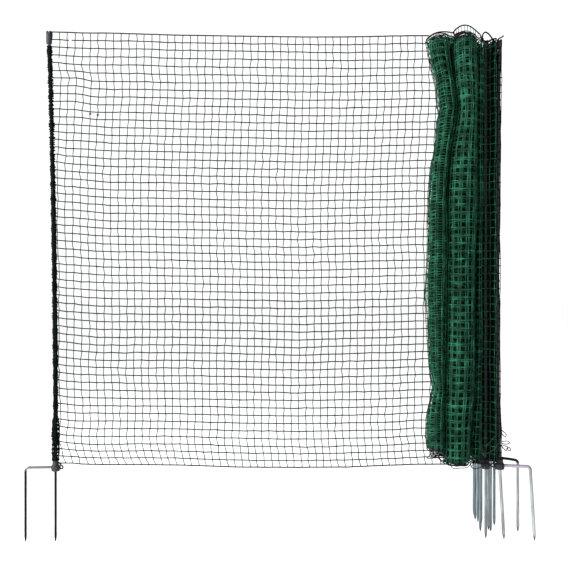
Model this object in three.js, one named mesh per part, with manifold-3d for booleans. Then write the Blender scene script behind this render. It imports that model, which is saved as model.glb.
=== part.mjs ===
// Dog fence netting on push-in posts: the first stretch is spread out, the rest is rolled up and folded
// around the other posts. Sizes are in millimetres, Z is up, and the spread stretch runs along X.

import * as THREE from "three";
import { mergeVertices } from "three/addons/utils/BufferGeometryUtils.js";
import Module from "manifold-3d";

const wasm = await Module();
wasm.setup();

// Fits
const clearance = 0.3; // gap between pieces that touch

// Steel feet
const rodDiameter = 5;
const prongLength = 151; // from the tip to the middle of the step bar
const prongSpacing = 61; // from the prong under the post to the side prong
const tipLength = 6;
const tipFlat = 1.2; // width of the blunt end of a tip
const barBend = 7; // radius of the bend between bar and side prong

// Collars at the foot of the posts
const collarDiameter = 17;
const collarBelowBar = 8;
const collarWideHeight = 13;
const collarNeckDiameter = 13;
const collarHeight = 21;
const socketDepth = 9; // how far a post goes down into its collar
const eyeRadius = 3.2; // middle line of the ring that the bottom cord is tied to
const eyeWire = 2.8;

// Posts and their heads
const postDiameter = 6.5;
const postLength = 864;
const headDiameter = 10.4;
const endHeadHeight = 26;
const innerHeadHeight = 16; // the heads of the posts in the bundle are lower
const headDepth = 9; // how far a post goes up into its head
const cordSlotWidth = 3;
const cordSlotDepth = 5;

// Net
const rowPitch = 15.6;
const columnPitch = 15.4;
const crossStrand = 1.3;
const uprightStrand = 0.9;
const cordDiameter = 2.2;
const netAboveBar = 9; // height of the net's bottom row over the step bar, at the end post
const sagMiddle = 5; // how far the spread stretch sags at mid span
const sagFar = 5; // how much lower it is where the rolls begin

// Winding of net around the end post
const windingWall = 0.8;
const windingWideWall = 3.2;
const windingWideRows = 5;

// Rolled net
const rollCorner = 7.2; // corner radius of a flattened roll, seen from above
const frontRollCorner = 17; // the two rolls in front are rounder
const narrowRollCorner = 10;
const cornerLimit = 0.9; // a corner takes at most this share of half a roll's side
const rollsFront = -22;
const rollsBack = 46;
const firstRollX = 290; // where the spread stretch ends and the first roll begins, at the bottom
const firstFoldX = 330; // the fold that parts the first two rolls
const secondFoldX = 380; // the fold that parts the second and third roll
const domeSteps = 4;
const wideRollProud = 8; // how far the second roll stands in front of the first

// Bundle of posts
const endPostX = -465.5;
const bundleX = 443; // the front post of the bundle
const bundleY = 24;
const postBeside = 27; // how far the second post of the bundle stands to the left of the first
const footRoom = 9; // room between a side prong and the post behind it

// Where each post stands: the place of its collar, the way its step bar points in degrees, the turn
// from there to its ring, its own lean, how far its prongs lean sideways, and how far it stands proud.
// The posts of the bundle stand behind each other as far apart as their side prongs need.
const secondY = bundleY + 7;
const middleY = secondY + prongSpacing + footRoom;
const posts = [
  { x: endPostX, y: 0, bar: 180, ring: 180, lean: 0.75, skew: 0, raised: 0 },
  { x: bundleX, y: bundleY, bar: -12, ring: 180, lean: 0, skew: 9, raised: 0 },
  { x: bundleX - postBeside, y: secondY, bar: 69, ring: 180, lean: 0, skew: 0, raised: 0 },
  { x: bundleX - postBeside, y: middleY - 13, bar: 77, ring: 180, lean: 0, skew: 0, raised: 0 },
  { x: bundleX - 7, y: middleY, bar: -14, ring: 104, lean: 0, skew: 0, raised: 0 },
  { x: bundleX - 18, y: middleY + 103, bar: -93, ring: 180, lean: 0, skew: 0, raised: 6 },
  { x: bundleX + 16, y: middleY + 38, bar: 121, ring: 180, lean: 0, skew: 0, raised: 0 },
];

// Sides of the first three rolls by row of the net, as steps to the right of the values above. They
// draw in at the two creases, near rows 9 and 45.
const firstRollLeft = [
  [2, 0], [5, -2], [7, 4], [9, 15], [16, 1], [22, -3], [32, 1], [38, 7], [43, 17], [45, 26], [50, 16],
  [55, -1],
];
const firstFold = [[2, -2], [9, -4], [16, 0], [32, 1], [38, 6], [43, 11], [46, 22], [55, 14]];
const secondFold = [[2, -2], [9, -6], [16, 4], [22, -3], [30, -4], [38, 5], [55, 7]];

// Values worked out from the sizes above
const rodRadius = rodDiameter / 2;
const postRadius = postDiameter / 2;
const headRadius = headDiameter / 2;
const collarRadius = collarDiameter / 2;
const cordRadius = cordDiameter / 2;
const netLowest = prongLength + netAboveBar;
const collarBottom = prongLength - collarBelowBar;
const collarTop = collarBottom + collarHeight;
const postBottom = collarTop - socketDepth + clearance;
const postTop = postBottom + postLength;
const headBottom = postTop - headDepth;
const meshRows = Math.round((headBottom + endHeadHeight - netLowest) / rowPitch);
const rollTops = meshRows - 1; // row that the rolls' sides reach up to, under their domes
const windingRadius = postRadius + clearance + windingWall;
const windingWideRadius = postRadius + clearance + windingWideWall;
const degree = Math.PI / 180;
const endPost = posts[0];
const alongY = new THREE.Vector3(0, 1, 0);

const materials = {
  steel: new THREE.MeshStandardMaterial({ color: 0x9fa8ac, roughness: 0.35, metalness: 0.9 }),
  plastic: new THREE.MeshStandardMaterial({ color: 0x16171c, roughness: 0.5, metalness: 0 }),
  net: new THREE.MeshStandardMaterial({ color: 0x1f5a40, roughness: 0.6, metalness: 0 }),
  cord: new THREE.MeshStandardMaterial({ color: 0x17161c, roughness: 0.8, metalness: 0 }),
};

// Height on a list of [row, value] pairs, in straight steps between its entries
function along(list, row) {
  if (row <= list[0][0]) return list[0][1];
  for (let i = 1; i < list.length; i++) {
    const [r0, v0] = list[i - 1];
    const [r1, v1] = list[i];
    if (row <= r1) return v0 + ((v1 - v0) * (row - r0)) / (r1 - r0);
  }
  return list[list.length - 1][1];
}

// Closed skin over a list of rings with the same number of points, the first ring lowest
function loft(rings) {
  const sides = rings[0].length;
  const positions = rings.flat().flatMap((p) => [p.x, p.y, p.z]);
  const index = [];
  for (let r = 0; r + 1 < rings.length; r++) {
    for (let i = 0; i < sides; i++) {
      const a = r * sides + i;
      const b = r * sides + ((i + 1) % sides);
      index.push(a, b, b + sides, a, b + sides, a + sides);
    }
  }
  const last = (rings.length - 1) * sides;
  for (let i = 1; i + 1 < sides; i++) {
    index.push(0, i + 1, i);
    index.push(last, last + i, last + i + 1);
  }
  const geometry = new THREE.BufferGeometry();
  geometry.setAttribute("position", new THREE.Float32BufferAttribute(positions, 3));
  geometry.setIndex(index);
  return geometry;
}

// Round rod along a path; side is a direction that the path never runs along
function rod(path, radii, sides, side) {
  const rings = path.map((p, i) => {
    const before = path[Math.max(0, i - 1)];
    const after = path[Math.min(path.length - 1, i + 1)];
    const ahead = after.clone().sub(before).normalize();
    const u = side.clone().cross(ahead).normalize();
    const v = ahead.clone().cross(u);
    return Array.from({ length: sides }, (_, k) => {
      const turn = (2 * Math.PI * k) / sides;
      return p
        .clone()
        .addScaledVector(u, radii[i] * Math.cos(turn))
        .addScaledVector(v, radii[i] * Math.sin(turn));
    });
  });
  return loft(rings);
}

// Turned solid around Z from a profile of [radius, height] pairs
function turned(profile, sides) {
  const points = profile.map(([r, z]) => new THREE.Vector2(r, z));
  return new THREE.LatheGeometry(points, sides).rotateX(Math.PI / 2);
}

function solidOf(geometry) {
  const bare = geometry.clone();
  bare.deleteAttribute("normal");
  bare.deleteAttribute("uv");
  const merged = mergeVertices(bare, 1e-4);
  return new wasm.Manifold(
    new wasm.Mesh({
      numProp: 3,
      vertProperties: merged.getAttribute("position").array,
      triVerts: new Uint32Array(merged.index.array),
    }),
  );
}

function geometryOf(solid) {
  const mesh = solid.getMesh();
  const geometry = new THREE.BufferGeometry();
  geometry.setAttribute("position", new THREE.BufferAttribute(mesh.vertProperties, 3));
  geometry.setIndex(new THREE.BufferAttribute(mesh.triVerts, 1));
  return geometry;
}

function named(name, geometry, material) {
  const mesh = new THREE.Mesh(geometry, material);
  geometry.computeVertexNormals();
  mesh.name = name;
  return mesh;
}

// Double prong: the rod under the post, the step bar and the side prong, welded into one
function footGeometry(skew, turn) {
  const leanX = skew * Math.cos(turn);
  const leanY = -skew * Math.sin(turn);
  const shift = (z) => (prongLength - z) / prongLength;
  const at = (x, z) => new THREE.Vector3(x + leanX * shift(z), leanY * shift(z), z);
  const bendStart = prongLength - barBend;
  const rodTop = collarTop - socketDepth - clearance;
  const underPost = rod(
    [at(0, 0), at(0, tipLength), at(0, prongLength), new THREE.Vector3(0, 0, rodTop)],
    [tipFlat / 2, rodRadius, rodRadius, rodRadius],
    10,
    alongY,
  );
  const bend = [1, 2, 3, 4].map((k) => {
    const a = (k * 90 * degree) / 4;
    const x = prongSpacing - barBend * (1 - Math.cos(a));
    return new THREE.Vector3(x, 0, bendStart + barBend * Math.sin(a));
  });
  const sidePath = [at(prongSpacing, 0), at(prongSpacing, tipLength), at(prongSpacing, bendStart), ...bend];
  sidePath.push(new THREE.Vector3(0, 0, prongLength));
  const sideRadii = sidePath.map((_, i) => (i === 0 ? tipFlat / 2 : rodRadius));
  const sideProng = rod(sidePath, sideRadii, 10, alongY);
  return geometryOf(solidOf(underPost).add(solidOf(sideProng)));
}

// Moulded collar: a stepped ring with a slot for the step bar and a ring for the bottom cord
function collarGeometry(ringTurn) {
  const rodBore = rodRadius + clearance;
  const postBore = postRadius + clearance;
  const ledge = collarTop - socketDepth;
  const wideTop = collarBottom + collarWideHeight;
  const body = turned(
    [
      [rodBore, collarBottom],
      [collarRadius, collarBottom],
      [collarRadius, wideTop],
      [collarNeckDiameter / 2, wideTop + 1],
      [collarNeckDiameter / 2, collarTop],
      [postBore, collarTop],
      [postBore, ledge],
      [rodBore, ledge],
      [rodBore, collarBottom],
    ],
    16,
  );
  const slotTop = prongLength + rodRadius + clearance;
  const slotHeight = 2 * (slotTop - collarBottom);
  const slotWidth = rodDiameter + 2 * clearance;
  const slot = new THREE.BoxGeometry(collarDiameter, slotWidth, slotHeight);
  slot.translate(collarRadius, 0, slotTop - slotHeight / 2);
  const eye = new THREE.TorusGeometry(eyeRadius, eyeWire / 2, 6, 12).rotateX(Math.PI / 2);
  eye.translate(collarRadius + eyeRadius, 0, prongLength).rotateZ(ringTurn);
  return geometryOf(solidOf(body).subtract(solidOf(slot)).add(solidOf(eye)));
}

function postGeometry() {
  return turned(
    [
      [0, postBottom],
      [postRadius, postBottom],
      [postRadius, postTop],
      [0, postTop],
    ],
    10,
  );
}

// Head that caps a post, with a slot for the top cord between two lobes
function headGeometry(height) {
  const bore = postRadius + clearance;
  const boreTop = headBottom + headDepth + clearance;
  const top = headBottom + height;
  const body = turned(
    [
      [0, boreTop],
      [bore, boreTop],
      [bore, headBottom],
      [headRadius, headBottom],
      [headRadius, top],
      [0, top],
    ],
    12,
  );
  const slot = new THREE.BoxGeometry(cordSlotWidth, 2 * headDiameter, 2 * cordSlotDepth);
  slot.translate(0, 0, top);
  return geometryOf(solidOf(body).subtract(solidOf(slot)));
}

const group = new THREE.Group();

posts.forEach((post, i) => {
  const number = i + 1;
  const turn = post.bar * degree;
  const stand = new THREE.Group();
  const lean = post.lean * degree;
  const dip = Math.max(0, -prongSpacing * Math.cos(turn) * Math.sin(lean));
  stand.position.set(post.x + prongLength * Math.sin(lean), post.y, post.raised + dip);
  stand.rotation.y = -lean;
  const base = new THREE.Group();
  base.rotation.z = turn;
  base.add(named("foot_" + number, footGeometry(post.skew, turn), materials.steel));
  base.add(named("collar_" + number, collarGeometry(post.ring * degree), materials.plastic));
  stand.add(base);
  stand.add(named("post_" + number, postGeometry(), materials.plastic));
  const headHeight = post === endPost ? endHeadHeight : innerHeadHeight;
  stand.add(named("head_" + number, headGeometry(headHeight), materials.plastic));
  if (post === endPost) stand.add(named("end_winding", windingGeometry(), materials.net));
  group.add(stand);
});

// Height of a row where the rolls begin
function rollHeight(row) {
  return netLowest - sagFar + row * rowPitch;
}

// Net wound around the end post: a sleeve that is thicker in its lowest rows
function windingGeometry() {
  const bore = postRadius + clearance;
  const low = collarTop + clearance;
  const step = netLowest + windingWideRows * rowPitch;
  return turned(
    [
      [bore, low],
      [windingWideRadius, low],
      [windingWideRadius, step],
      [windingRadius, step + rowPitch],
      [windingRadius, headBottom - clearance],
      [bore, headBottom - clearance],
      [bore, low],
    ],
    12,
  );
}

const firstRollSide = (row) => firstRollX + along(firstRollLeft, row);
const firstFoldSide = (row) => firstFoldX + along(firstFold, row);
const secondFoldSide = (row) => secondFoldX + along(secondFold, row);

// Left and right side of the spread stretch at a row
function panelLeft(row) {
  const z = netLowest + row * rowPitch;
  const axis = endPost.x - (z - prongLength) * Math.tan(endPost.lean * degree);
  const wide = row <= windingWideRows + 1 ? windingWideRadius : windingRadius;
  const besideHead = z > headBottom - rowPitch ? headRadius : 0;
  return axis + Math.max(wide, besideHead) + clearance;
}

function panelRight(row) {
  return firstRollSide(row) - clearance;
}

// Point of the spread stretch: its height sags along the span
function panelPoint(row, share) {
  const left = panelLeft(row);
  const x = left + (panelRight(row) - left) * share;
  const sag = sagFar * share + sagMiddle * Math.sin(Math.PI * share);
  return new THREE.Vector2(x, netLowest + row * rowPitch - sag);
}

const shares = [0, 0.25, 0.5, 0.75, 1];

// Cross strands: one flat lattice of rows, joined by an edge strand at either side
function crossStrandsGeometry() {
  const rows = Array.from({ length: meshRows - 1 }, (_, i) => i + 1);
  const half = crossStrand / 2;
  const offset = (row, share, dx, dz) => panelPoint(row, share).add(new THREE.Vector2(dx, dz));
  const outline = [
    ...shares.map((s) => offset(rows[0], s, 0, -half)),
    ...rows.map((row) => offset(row, 1, 0, 0)),
    ...shares.toReversed().map((s) => offset(rows[rows.length - 1], s, 0, half)),
    ...rows.toReversed().map((row) => offset(row, 0, 0, 0)),
  ];
  const shape = new THREE.Shape(outline);
  for (const row of rows.slice(1)) {
    const inset = (s) => (s === 0 ? crossStrand : s === 1 ? -crossStrand : 0);
    const low = shares.map((s) => offset(row - 1, s, inset(s), half));
    const high = shares.toReversed().map((s) => offset(row, s, inset(s), -half));
    shape.holes.push(new THREE.Path([...low, ...high]));
  }
  const lattice = new THREE.ExtrudeGeometry(shape, { depth: crossStrand, bevelEnabled: false });
  return lattice.rotateX(Math.PI / 2).translate(0, -clearance / 2, 0);
}

// Upright strands: one flat lattice of columns, joined by the net's bottom and top row
function uprightStrandsGeometry() {
  const span = panelRight(0) - panelLeft(0);
  const columns = Math.round(span / columnPitch);
  const half = uprightStrand / 2;
  const widest = Math.max(...firstRollLeft.map(([, step]) => -step));
  const reach = (span - widest - columnPitch / 2) / span;
  const place = (row, column, dx, dz) => {
    const share = (reach * column) / columns;
    const left = panelLeft(row === 0 ? 0 : meshRows);
    const x = Math.max(panelLeft(0), left) + span * share;
    const sag = sagFar * share + sagMiddle * Math.sin(Math.PI * share);
    return new THREE.Vector2(x + dx, netLowest + row * rowPitch - sag + dz);
  };
  const numbers = Array.from({ length: columns + 1 }, (_, i) => i);
  const shape = new THREE.Shape([
    ...numbers.map((n) => place(0, n, 0, -half)),
    ...numbers.toReversed().map((n) => place(meshRows, n, 0, half)),
  ]);
  for (const n of numbers.slice(1)) {
    shape.holes.push(
      new THREE.Path([
        place(0, n - 1, half, half),
        place(0, n, -half, half),
        place(meshRows, n, -half, -half),
        place(meshRows, n - 1, half, -half),
      ]),
    );
  }
  const lattice = new THREE.ExtrudeGeometry(shape, { depth: uprightStrand, bevelEnabled: false });
  return lattice.rotateX(Math.PI / 2).translate(0, uprightStrand + clearance / 2, 0);
}

group.add(named("net_cross_strands", crossStrandsGeometry(), materials.net));
group.add(named("net_upright_strands", uprightStrandsGeometry(), materials.net));

// Border cord along the bottom or the top of the spread stretch
function borderCord(row, side, from, to) {
  const steps = 16;
  const gap = uprightStrand / 2 + clearance + cordRadius;
  const path = Array.from({ length: steps + 1 }, (_, i) => {
    const p = panelPoint(row, i / steps);
    const left = panelPoint(row, 0).x;
    const right = panelPoint(row, 1).x;
    const x = from + ((to - from) * (p.x - left)) / (right - left);
    return new THREE.Vector3(x, 0, p.y + side * gap);
  });
  return rod(path, path.map(() => cordRadius), 8, alongY);
}

const bottomCordFrom = endPost.x + collarRadius + clearance;
const bottomCordTo = firstFoldSide(0) - clearance;
const topCordFrom = panelLeft(meshRows);
const topCordTo = panelRight(meshRows);
group.add(named("bottom_cord", borderCord(0, -1, bottomCordFrom, bottomCordTo), materials.cord));
group.add(named("top_cord", borderCord(meshRows, 1, topCordFrom, topCordTo), materials.cord));

// Flattened roll with rounded corners, standing on end, its top domed
function rollGeometry(roll) {
  const ring = (row, z, scale) => {
    const left = roll.left(row);
    const right = roll.right(row);
    const halfX = ((right - left) / 2) * scale;
    const halfY = ((roll.back - roll.front) / 2) * scale;
    const corner = Math.min(roll.corner ?? rollCorner, cornerLimit * halfX, cornerLimit * halfY);
    const midX = (left + right) / 2;
    const midY = (roll.back + roll.front) / 2;
    return [0, 1, 2, 3].flatMap((quarter) =>
      [0, 1, 2, 3].map((k) => {
        const a = (quarter + k / 3) * 90 * degree;
        const sx = quarter === 0 || quarter === 3 ? 1 : -1;
        const sy = quarter < 2 ? 1 : -1;
        return new THREE.Vector3(
          midX + sx * (halfX - corner) + corner * Math.cos(a),
          midY + sy * (halfY - corner) + corner * Math.sin(a),
          z,
        );
      }),
    );
  };
  const rows = new Set([roll.bottomRow, roll.topRow]);
  for (const list of [firstRollLeft, firstFold, secondFold]) {
    list.forEach(([row]) => {
      if (roll.shaped && row > roll.bottomRow && row < roll.topRow) rows.add(row);
    });
  }
  const rings = [...rows].sort((a, b) => a - b).map((row) => ring(row, rollHeight(row), 1));
  for (let k = 1; k <= domeSteps; k++) {
    const a = (k * 80 * degree) / domeSteps;
    rings.push(ring(roll.topRow, rollHeight(roll.topRow) + roll.rise * Math.sin(a), Math.cos(a)));
  }
  return loft(rings);
}

// Side of a post's head that faces left or right, less the clearance
const leftOf = (i) => posts[i].x - headRadius - clearance;
const rightOf = (i) => posts[i].x + headRadius + clearance;
const overCollar = (raised) => (collarTop + raised + clearance - rollHeight(0)) / rowPitch;
const behind = (depth) => depth + clearance;
// Where one deep roll ends and the next begins
const rollLines = [rollsBack, posts[3].y - 10, posts[4].y + 21, posts[6].y + 43, posts[5].y + 14];

const rolls = [
  {
    left: firstRollSide,
    right: (row) => firstFoldSide(row) - clearance,
    front: rollsFront,
    back: rollsBack,
    bottomRow: 2,
    topRow: rollTops,
    rise: 22,
    corner: frontRollCorner,
    shaped: true,
  },
  {
    left: firstFoldSide,
    right: (row) => secondFoldSide(row) - clearance,
    front: rollsFront - wideRollProud,
    back: rollsBack,
    bottomRow: 0.3,
    topRow: rollTops + 0.2,
    rise: 31,
    corner: frontRollCorner,
    shaped: true,
  },
  {
    left: secondFoldSide,
    right: () => leftOf(2),
    front: rollsFront + 10,
    back: rollsBack,
    bottomRow: overCollar(0),
    topRow: rollTops,
    rise: 8,
    corner: narrowRollCorner,
    shaped: true,
  },
  {
    left: () => firstRollX + 10,
    right: () => leftOf(3) - 12.5,
    front: behind(rollLines[0]),
    back: rollLines[1],
    bottomRow: 1.5,
    topRow: rollTops + 0.4,
    rise: 10,
  },
  {
    left: () => firstRollX + 22,
    right: () => leftOf(3),
    front: behind(rollLines[1]),
    back: rollLines[2],
    bottomRow: overCollar(0),
    topRow: rollTops + 0.4,
    rise: 8,
  },
  {
    left: () => firstRollX + 48,
    right: () => leftOf(6),
    front: behind(rollLines[2]),
    back: rollLines[3],
    bottomRow: overCollar(0),
    topRow: rollTops,
    rise: 6,
  },
  {
    left: () => firstRollX + 62,
    right: () => leftOf(5),
    front: behind(rollLines[3]),
    back: rollLines[4],
    bottomRow: overCollar(posts[5].raised),
    topRow: rollTops + 0.4,
    rise: 6,
  },
  {
    left: () => rightOf(2),
    right: () => leftOf(1),
    front: posts[1].y - 26,
    back: posts[2].y + 25,
    bottomRow: overCollar(0),
    topRow: rollTops - 0.2,
    rise: 12,
  },
  {
    left: () => rightOf(3),
    right: () => leftOf(4),
    front: posts[3].y - 6,
    back: posts[4].y + 15,
    bottomRow: overCollar(0),
    topRow: rollTops - 0.1,
    rise: 3,
  },
];
rolls.forEach((roll, i) => {
  group.add(named("rolled_net_" + (i + 1), rollGeometry(roll), materials.net));
});

// The origin is put below the middle of the whole part, on the level of the prong tips
group.updateMatrixWorld(true);
const whole = new THREE.Box3().setFromObject(group, true);
const middle = whole.getCenter(new THREE.Vector3());
group.position.set(-middle.x, -middle.y, -whole.min.z);

export default group;
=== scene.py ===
"""Dog fence netting with its posts: the finished look of the spread stretch, the rolled
stretches, the posts, collars and ground prongs. Measures in the lists are in millimetres, in the
drawing's axes: X along the spread net, Y away from the front, Z up. The spread net is at Y = 0."""

import math

import bmesh
import bpy
import numpy as np
from bpy.props import (
    FloatProperty,
    FloatVectorProperty,
    IntProperty,
    PointerProperty,
)
from mathutils import Matrix, Vector


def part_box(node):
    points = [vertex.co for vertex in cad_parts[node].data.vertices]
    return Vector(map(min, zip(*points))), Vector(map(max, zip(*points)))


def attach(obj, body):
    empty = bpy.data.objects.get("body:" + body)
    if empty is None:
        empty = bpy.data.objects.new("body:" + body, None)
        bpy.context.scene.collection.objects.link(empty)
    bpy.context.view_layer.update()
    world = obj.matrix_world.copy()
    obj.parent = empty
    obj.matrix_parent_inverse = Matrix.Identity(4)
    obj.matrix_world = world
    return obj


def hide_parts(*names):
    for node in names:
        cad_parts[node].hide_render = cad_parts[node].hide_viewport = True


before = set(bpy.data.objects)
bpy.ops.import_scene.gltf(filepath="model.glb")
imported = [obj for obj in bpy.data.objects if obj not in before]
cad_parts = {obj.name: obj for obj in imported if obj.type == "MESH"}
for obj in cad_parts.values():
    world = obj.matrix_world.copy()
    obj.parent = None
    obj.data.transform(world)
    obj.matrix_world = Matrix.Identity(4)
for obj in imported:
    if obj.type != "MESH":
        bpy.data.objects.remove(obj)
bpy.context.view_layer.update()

bl_info = {
    "name": "Dog Fence Netting",
    "version": (1, 0, 0),
    "blender": (4, 5, 0),
    "location": "View3D > Sidebar > Netting",
    "description": "Dresses the netting's frame with its strands, cords, posts and prongs",
    "category": "Object",
}

MM = 0.001

# Posts: the place of each collar, the way its step bar points, the turn from there to its ring and
# the post's lean, in degrees, how far its prongs' tips stray to the right, how high its tips stand,
# and how much higher its step bar lies at the collar than at its outer end
POSTS = [
    {"x": -465.5, "y": 0, "bar": 180, "ring": 180, "lean": 0.75, "skew": 0, "raised": 0},
    {"x": 443, "y": 24, "bar": -12, "ring": 180, "lean": 0, "skew": 9, "raised": 0},
    {"x": 416, "y": 31, "bar": 69, "ring": 180, "lean": 0, "skew": 0, "raised": 0},
    {"x": 416, "y": 88, "bar": 77, "ring": 180, "lean": 0, "skew": 0, "raised": 0},
    {"x": 436, "y": 101, "bar": -14, "ring": 104, "lean": 0, "skew": 0, "raised": 0, "tilt": 5},
    {"x": 425, "y": 204, "bar": -93, "ring": 180, "lean": 0, "skew": 0, "raised": 6},
    {"x": 456.5, "y": 139, "bar": 121, "ring": 180, "lean": 0, "skew": 0, "raised": 0},
]
# How far the two outer posts bow to the right: steps by height
BOWS = {
    0: [
        (143, 1.5), (165, 2), (256, 3.4), (330, 4.2), (620, 4.6), (745, 4), (870, 2.6), (970, 1.5),
        (1030, 0),
    ],
    1: [
        (155, 0), (210, -0.5), (260, -2.6), (380, -3.2), (620, -4), (700, -3), (790, -2),
        (930, -1.4), (1000, 0),
    ],
}
PRONG_LENGTH = 151
PRONG_SPACING = 61
BEND_RADIUS = 7.0
ROD_RADIUS = 2.9
OUTER_ROD_RADII = {0: 2.7, 1: 3.3}
COLLAR_TOP = 164
POST_BOTTOM = 155.3
POST_TOP = 1019.3
POST_RADIUS = 3.25
HEAD_BOTTOM = 1010.3
HEAD_RADIUS = 5.2
END_HEAD_TOP = 1036.3
INNER_HEAD_TOP = 1026.3

# Net
ROWS = 57
ROW_PITCH = 15.6
COLUMN_PITCH = 15.34
NET_LOWEST = 160.0
FIRST_UPRIGHT = -454.5
PANEL_UPRIGHTS = 49
MIDDLE_ROW = 26

# Rolled net: height of its lowest row before the edge was lifted, how many rows are drawn together
# there, and the row from which the top edge begins to bend
ROLL_LOWEST = NET_LOWEST - 5
ROWS_DRAWN = 9.0
TOP_ROW_START = 44

# Torn and frayed places of the spread net
BROKEN_ROW = 55
BROKEN_ROW_GAP = (-436.4, -431.0)
BROKEN_UPRIGHT_GAP = (972.5, 981.5)
FRAYED_PLACES = [(-393.0, 869.0), (-377.5, 867.0)]

# How far each row of the spread net hangs off its even place: heights by row, at these X places
SAG_X = [-460, -444, -429, -413, -397, -383, -352, -289, -210, -88, 33, 125, 216, 273]
SAG = {
    56: (1.8, 1.2, 0.6, 0, -0.3, -0.4, -0.5, -2.5, -4.8, -6.7, -8.4, -8.4, -6.5, -5.7),
    54: (2, 0.8, 0.3, 0.1, -0.4, -0.8, -1.4, -1.6, -4.2, -5.9, -8, -9.2, -7.6, -6.1),
    52: (2.3, -0.2, -1, -2.4, -2.9, -2.9, -3.1, -3.4, -6.4, -7.4, -9.4, -10, -8.9, -7.7),
    50: (1.9, 2, 2, 1.6, -3.8, -4.3, -5.4, -5.6, -8.2, -8.3, -10.4, -10.5, -8.5, -7.5),
    48: (1.4, 1, 1, 0.6, -3.8, -5.6, -5.7, -5.8, -7.9, -9.6, -11.8, -11.7, -10, -8.8),
    46: (1.3, 1.3, 1.2, -0.5, -4.8, -5.1, -5.2, -5.7, -8.7, -10.1, -12.7, -12.2, -10.6, -8.9),
    44: (1.7, 0.5, 0.3, -0.2, -1.6, -2.1, -5.5, -6, -8, -10.1, -12.4, -12.1, -10.1, -8.8),
    40: (3.4, -0.1, -1.1, -2.3, -2.9, -4.2, -6.4, -6.5, -8.7, -10.6, -12.6, -12.6, -10.8, -9.5),
    34: (2, -0.1, -0.3, -2.1, -4.2, -5.1, -7.6, -8.1, -9, -11.9, -14.2, -12.4, -10.3, -8.6),
    28: (0, -1.9, -2, -4, -5.1, -6, -7.8, -8.2, -10, -12.1, -14.3, -12.2, -10, -8.5),
    22: (-1, -3.6, -3.9, -5.9, -6.7, -7.8, -9.1, -9.4, -9.7, -12, -14.4, -12, -9.9, -8.2),
    16: (-1, -3.5, -5.3, -6.9, -7.8, -9.6, -10.1, -9.7, -9.5, -11.8, -15.2, -11.8, -9.7, -7.3),
    10: (-3, -5.4, -5.7, -7.3, -7.3, -7.6, -7.9, -9.5, -9.6, -11.5, -13.4, -11.5, -9.7, -6.3),
    6: (-3, -5.6, -7, -7.9, -8, -8, -8, -7.9, -8.6, -12.1, -13.4, -12.1, -10.2, -6.3),
    3: (-2, -4.3, -6.1, -7.2, -8.1, -8.3, -8.2, -7.5, -7.7, -12, -13.9, -11.8, -10.1, -6.2),
    0: (0.5, 0.3, 0.3, -1.7, -2, -2.4, -3.2, -3, -3.8, -8, -8.5, -7.9, -4, -2),
}

# How far the uprights stray sideways on their way down: steps by row, at these uprights
DRIFT_AT = [1, 10, 20, 34, 48]
DRIFT = {
    56: (-1, 2, 4, 2, 0), 54: (-1, 2, 4, 2, 0), 52: (-4, 1, 2, 3, -2), 50: (2, 3, 4, 2, -2),
    48: (0, 3, 3, 1, -2), 46: (-1, 0, 1, 0, -5), 42: (-4, -2, -1, -2, -8),
    38: (-6, -5, -4, -6, -12),
    34: (-5, -5, -4, -8, -12), 30: (-6, -5, -4, -8, -15), 26: (-3, -3, -2, -6, -12),
    22: (-3, -2, -2, -6, -14), 17: (-2, -2, -2, -6, -14), 13: (-4, -5, -4, -8, -16),
    9: (-1, -1, -3, -8, -16), 6: (1, -1, -2, -8, -18), 4: (-3, -3, -4, -6, -17),
    3: (-2, -2, -2, -5, -14), 2: (2, 1, 0, -3, -14), 1: (6, 5, 2, -2, -12), 0: (11, 11, 5, 0, -10),
}

# Sides of the first three rolls by row, as steps to the right of their bottom places
FIRST_ROLL_X = 290
FIRST_FOLD_X = 330
SECOND_FOLD_X = 380
THIRD_ROLL_X = 404
FIRST_ROLL_LEFT = [
    (0, 3), (2, 0), (3.4, 0.4), (5.2, 1.2), (6.2, 4.7), (7.1, 7), (8, 10), (8.9, 17), (9.8, 12),
    (10.8, 8), (13, 5), (16, 4), (19, 2), (22, -2), (25, 0), (28.4, 2.6), (32, 3.3), (35.7, 5.5),
    (39.4, 8), (40.3, 14), (43.8, 20), (44.9, 21), (45.8, 27), (47.2, 22), (49, 20), (50.4, 18),
    (51.7, 11), (53.6, 4), (56, 0),
]
FIRST_FOLD = [
    (0, -3), (2, -2), (9, -4), (16, 0), (27, 3), (34.7, 2), (41.2, 9), (43.9, 18), (46.5, 24),
    (48.4, 21), (51.1, 16), (53.7, 13), (56, 14),
]
SECOND_FOLD = [
    (0, -4), (4, -2), (6.2, 0), (8.8, 5), (14.8, 8), (21.5, 8), (27.4, 9), (34.7, 12), (47.7, 12.5),
    (56, 12),
]

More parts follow.
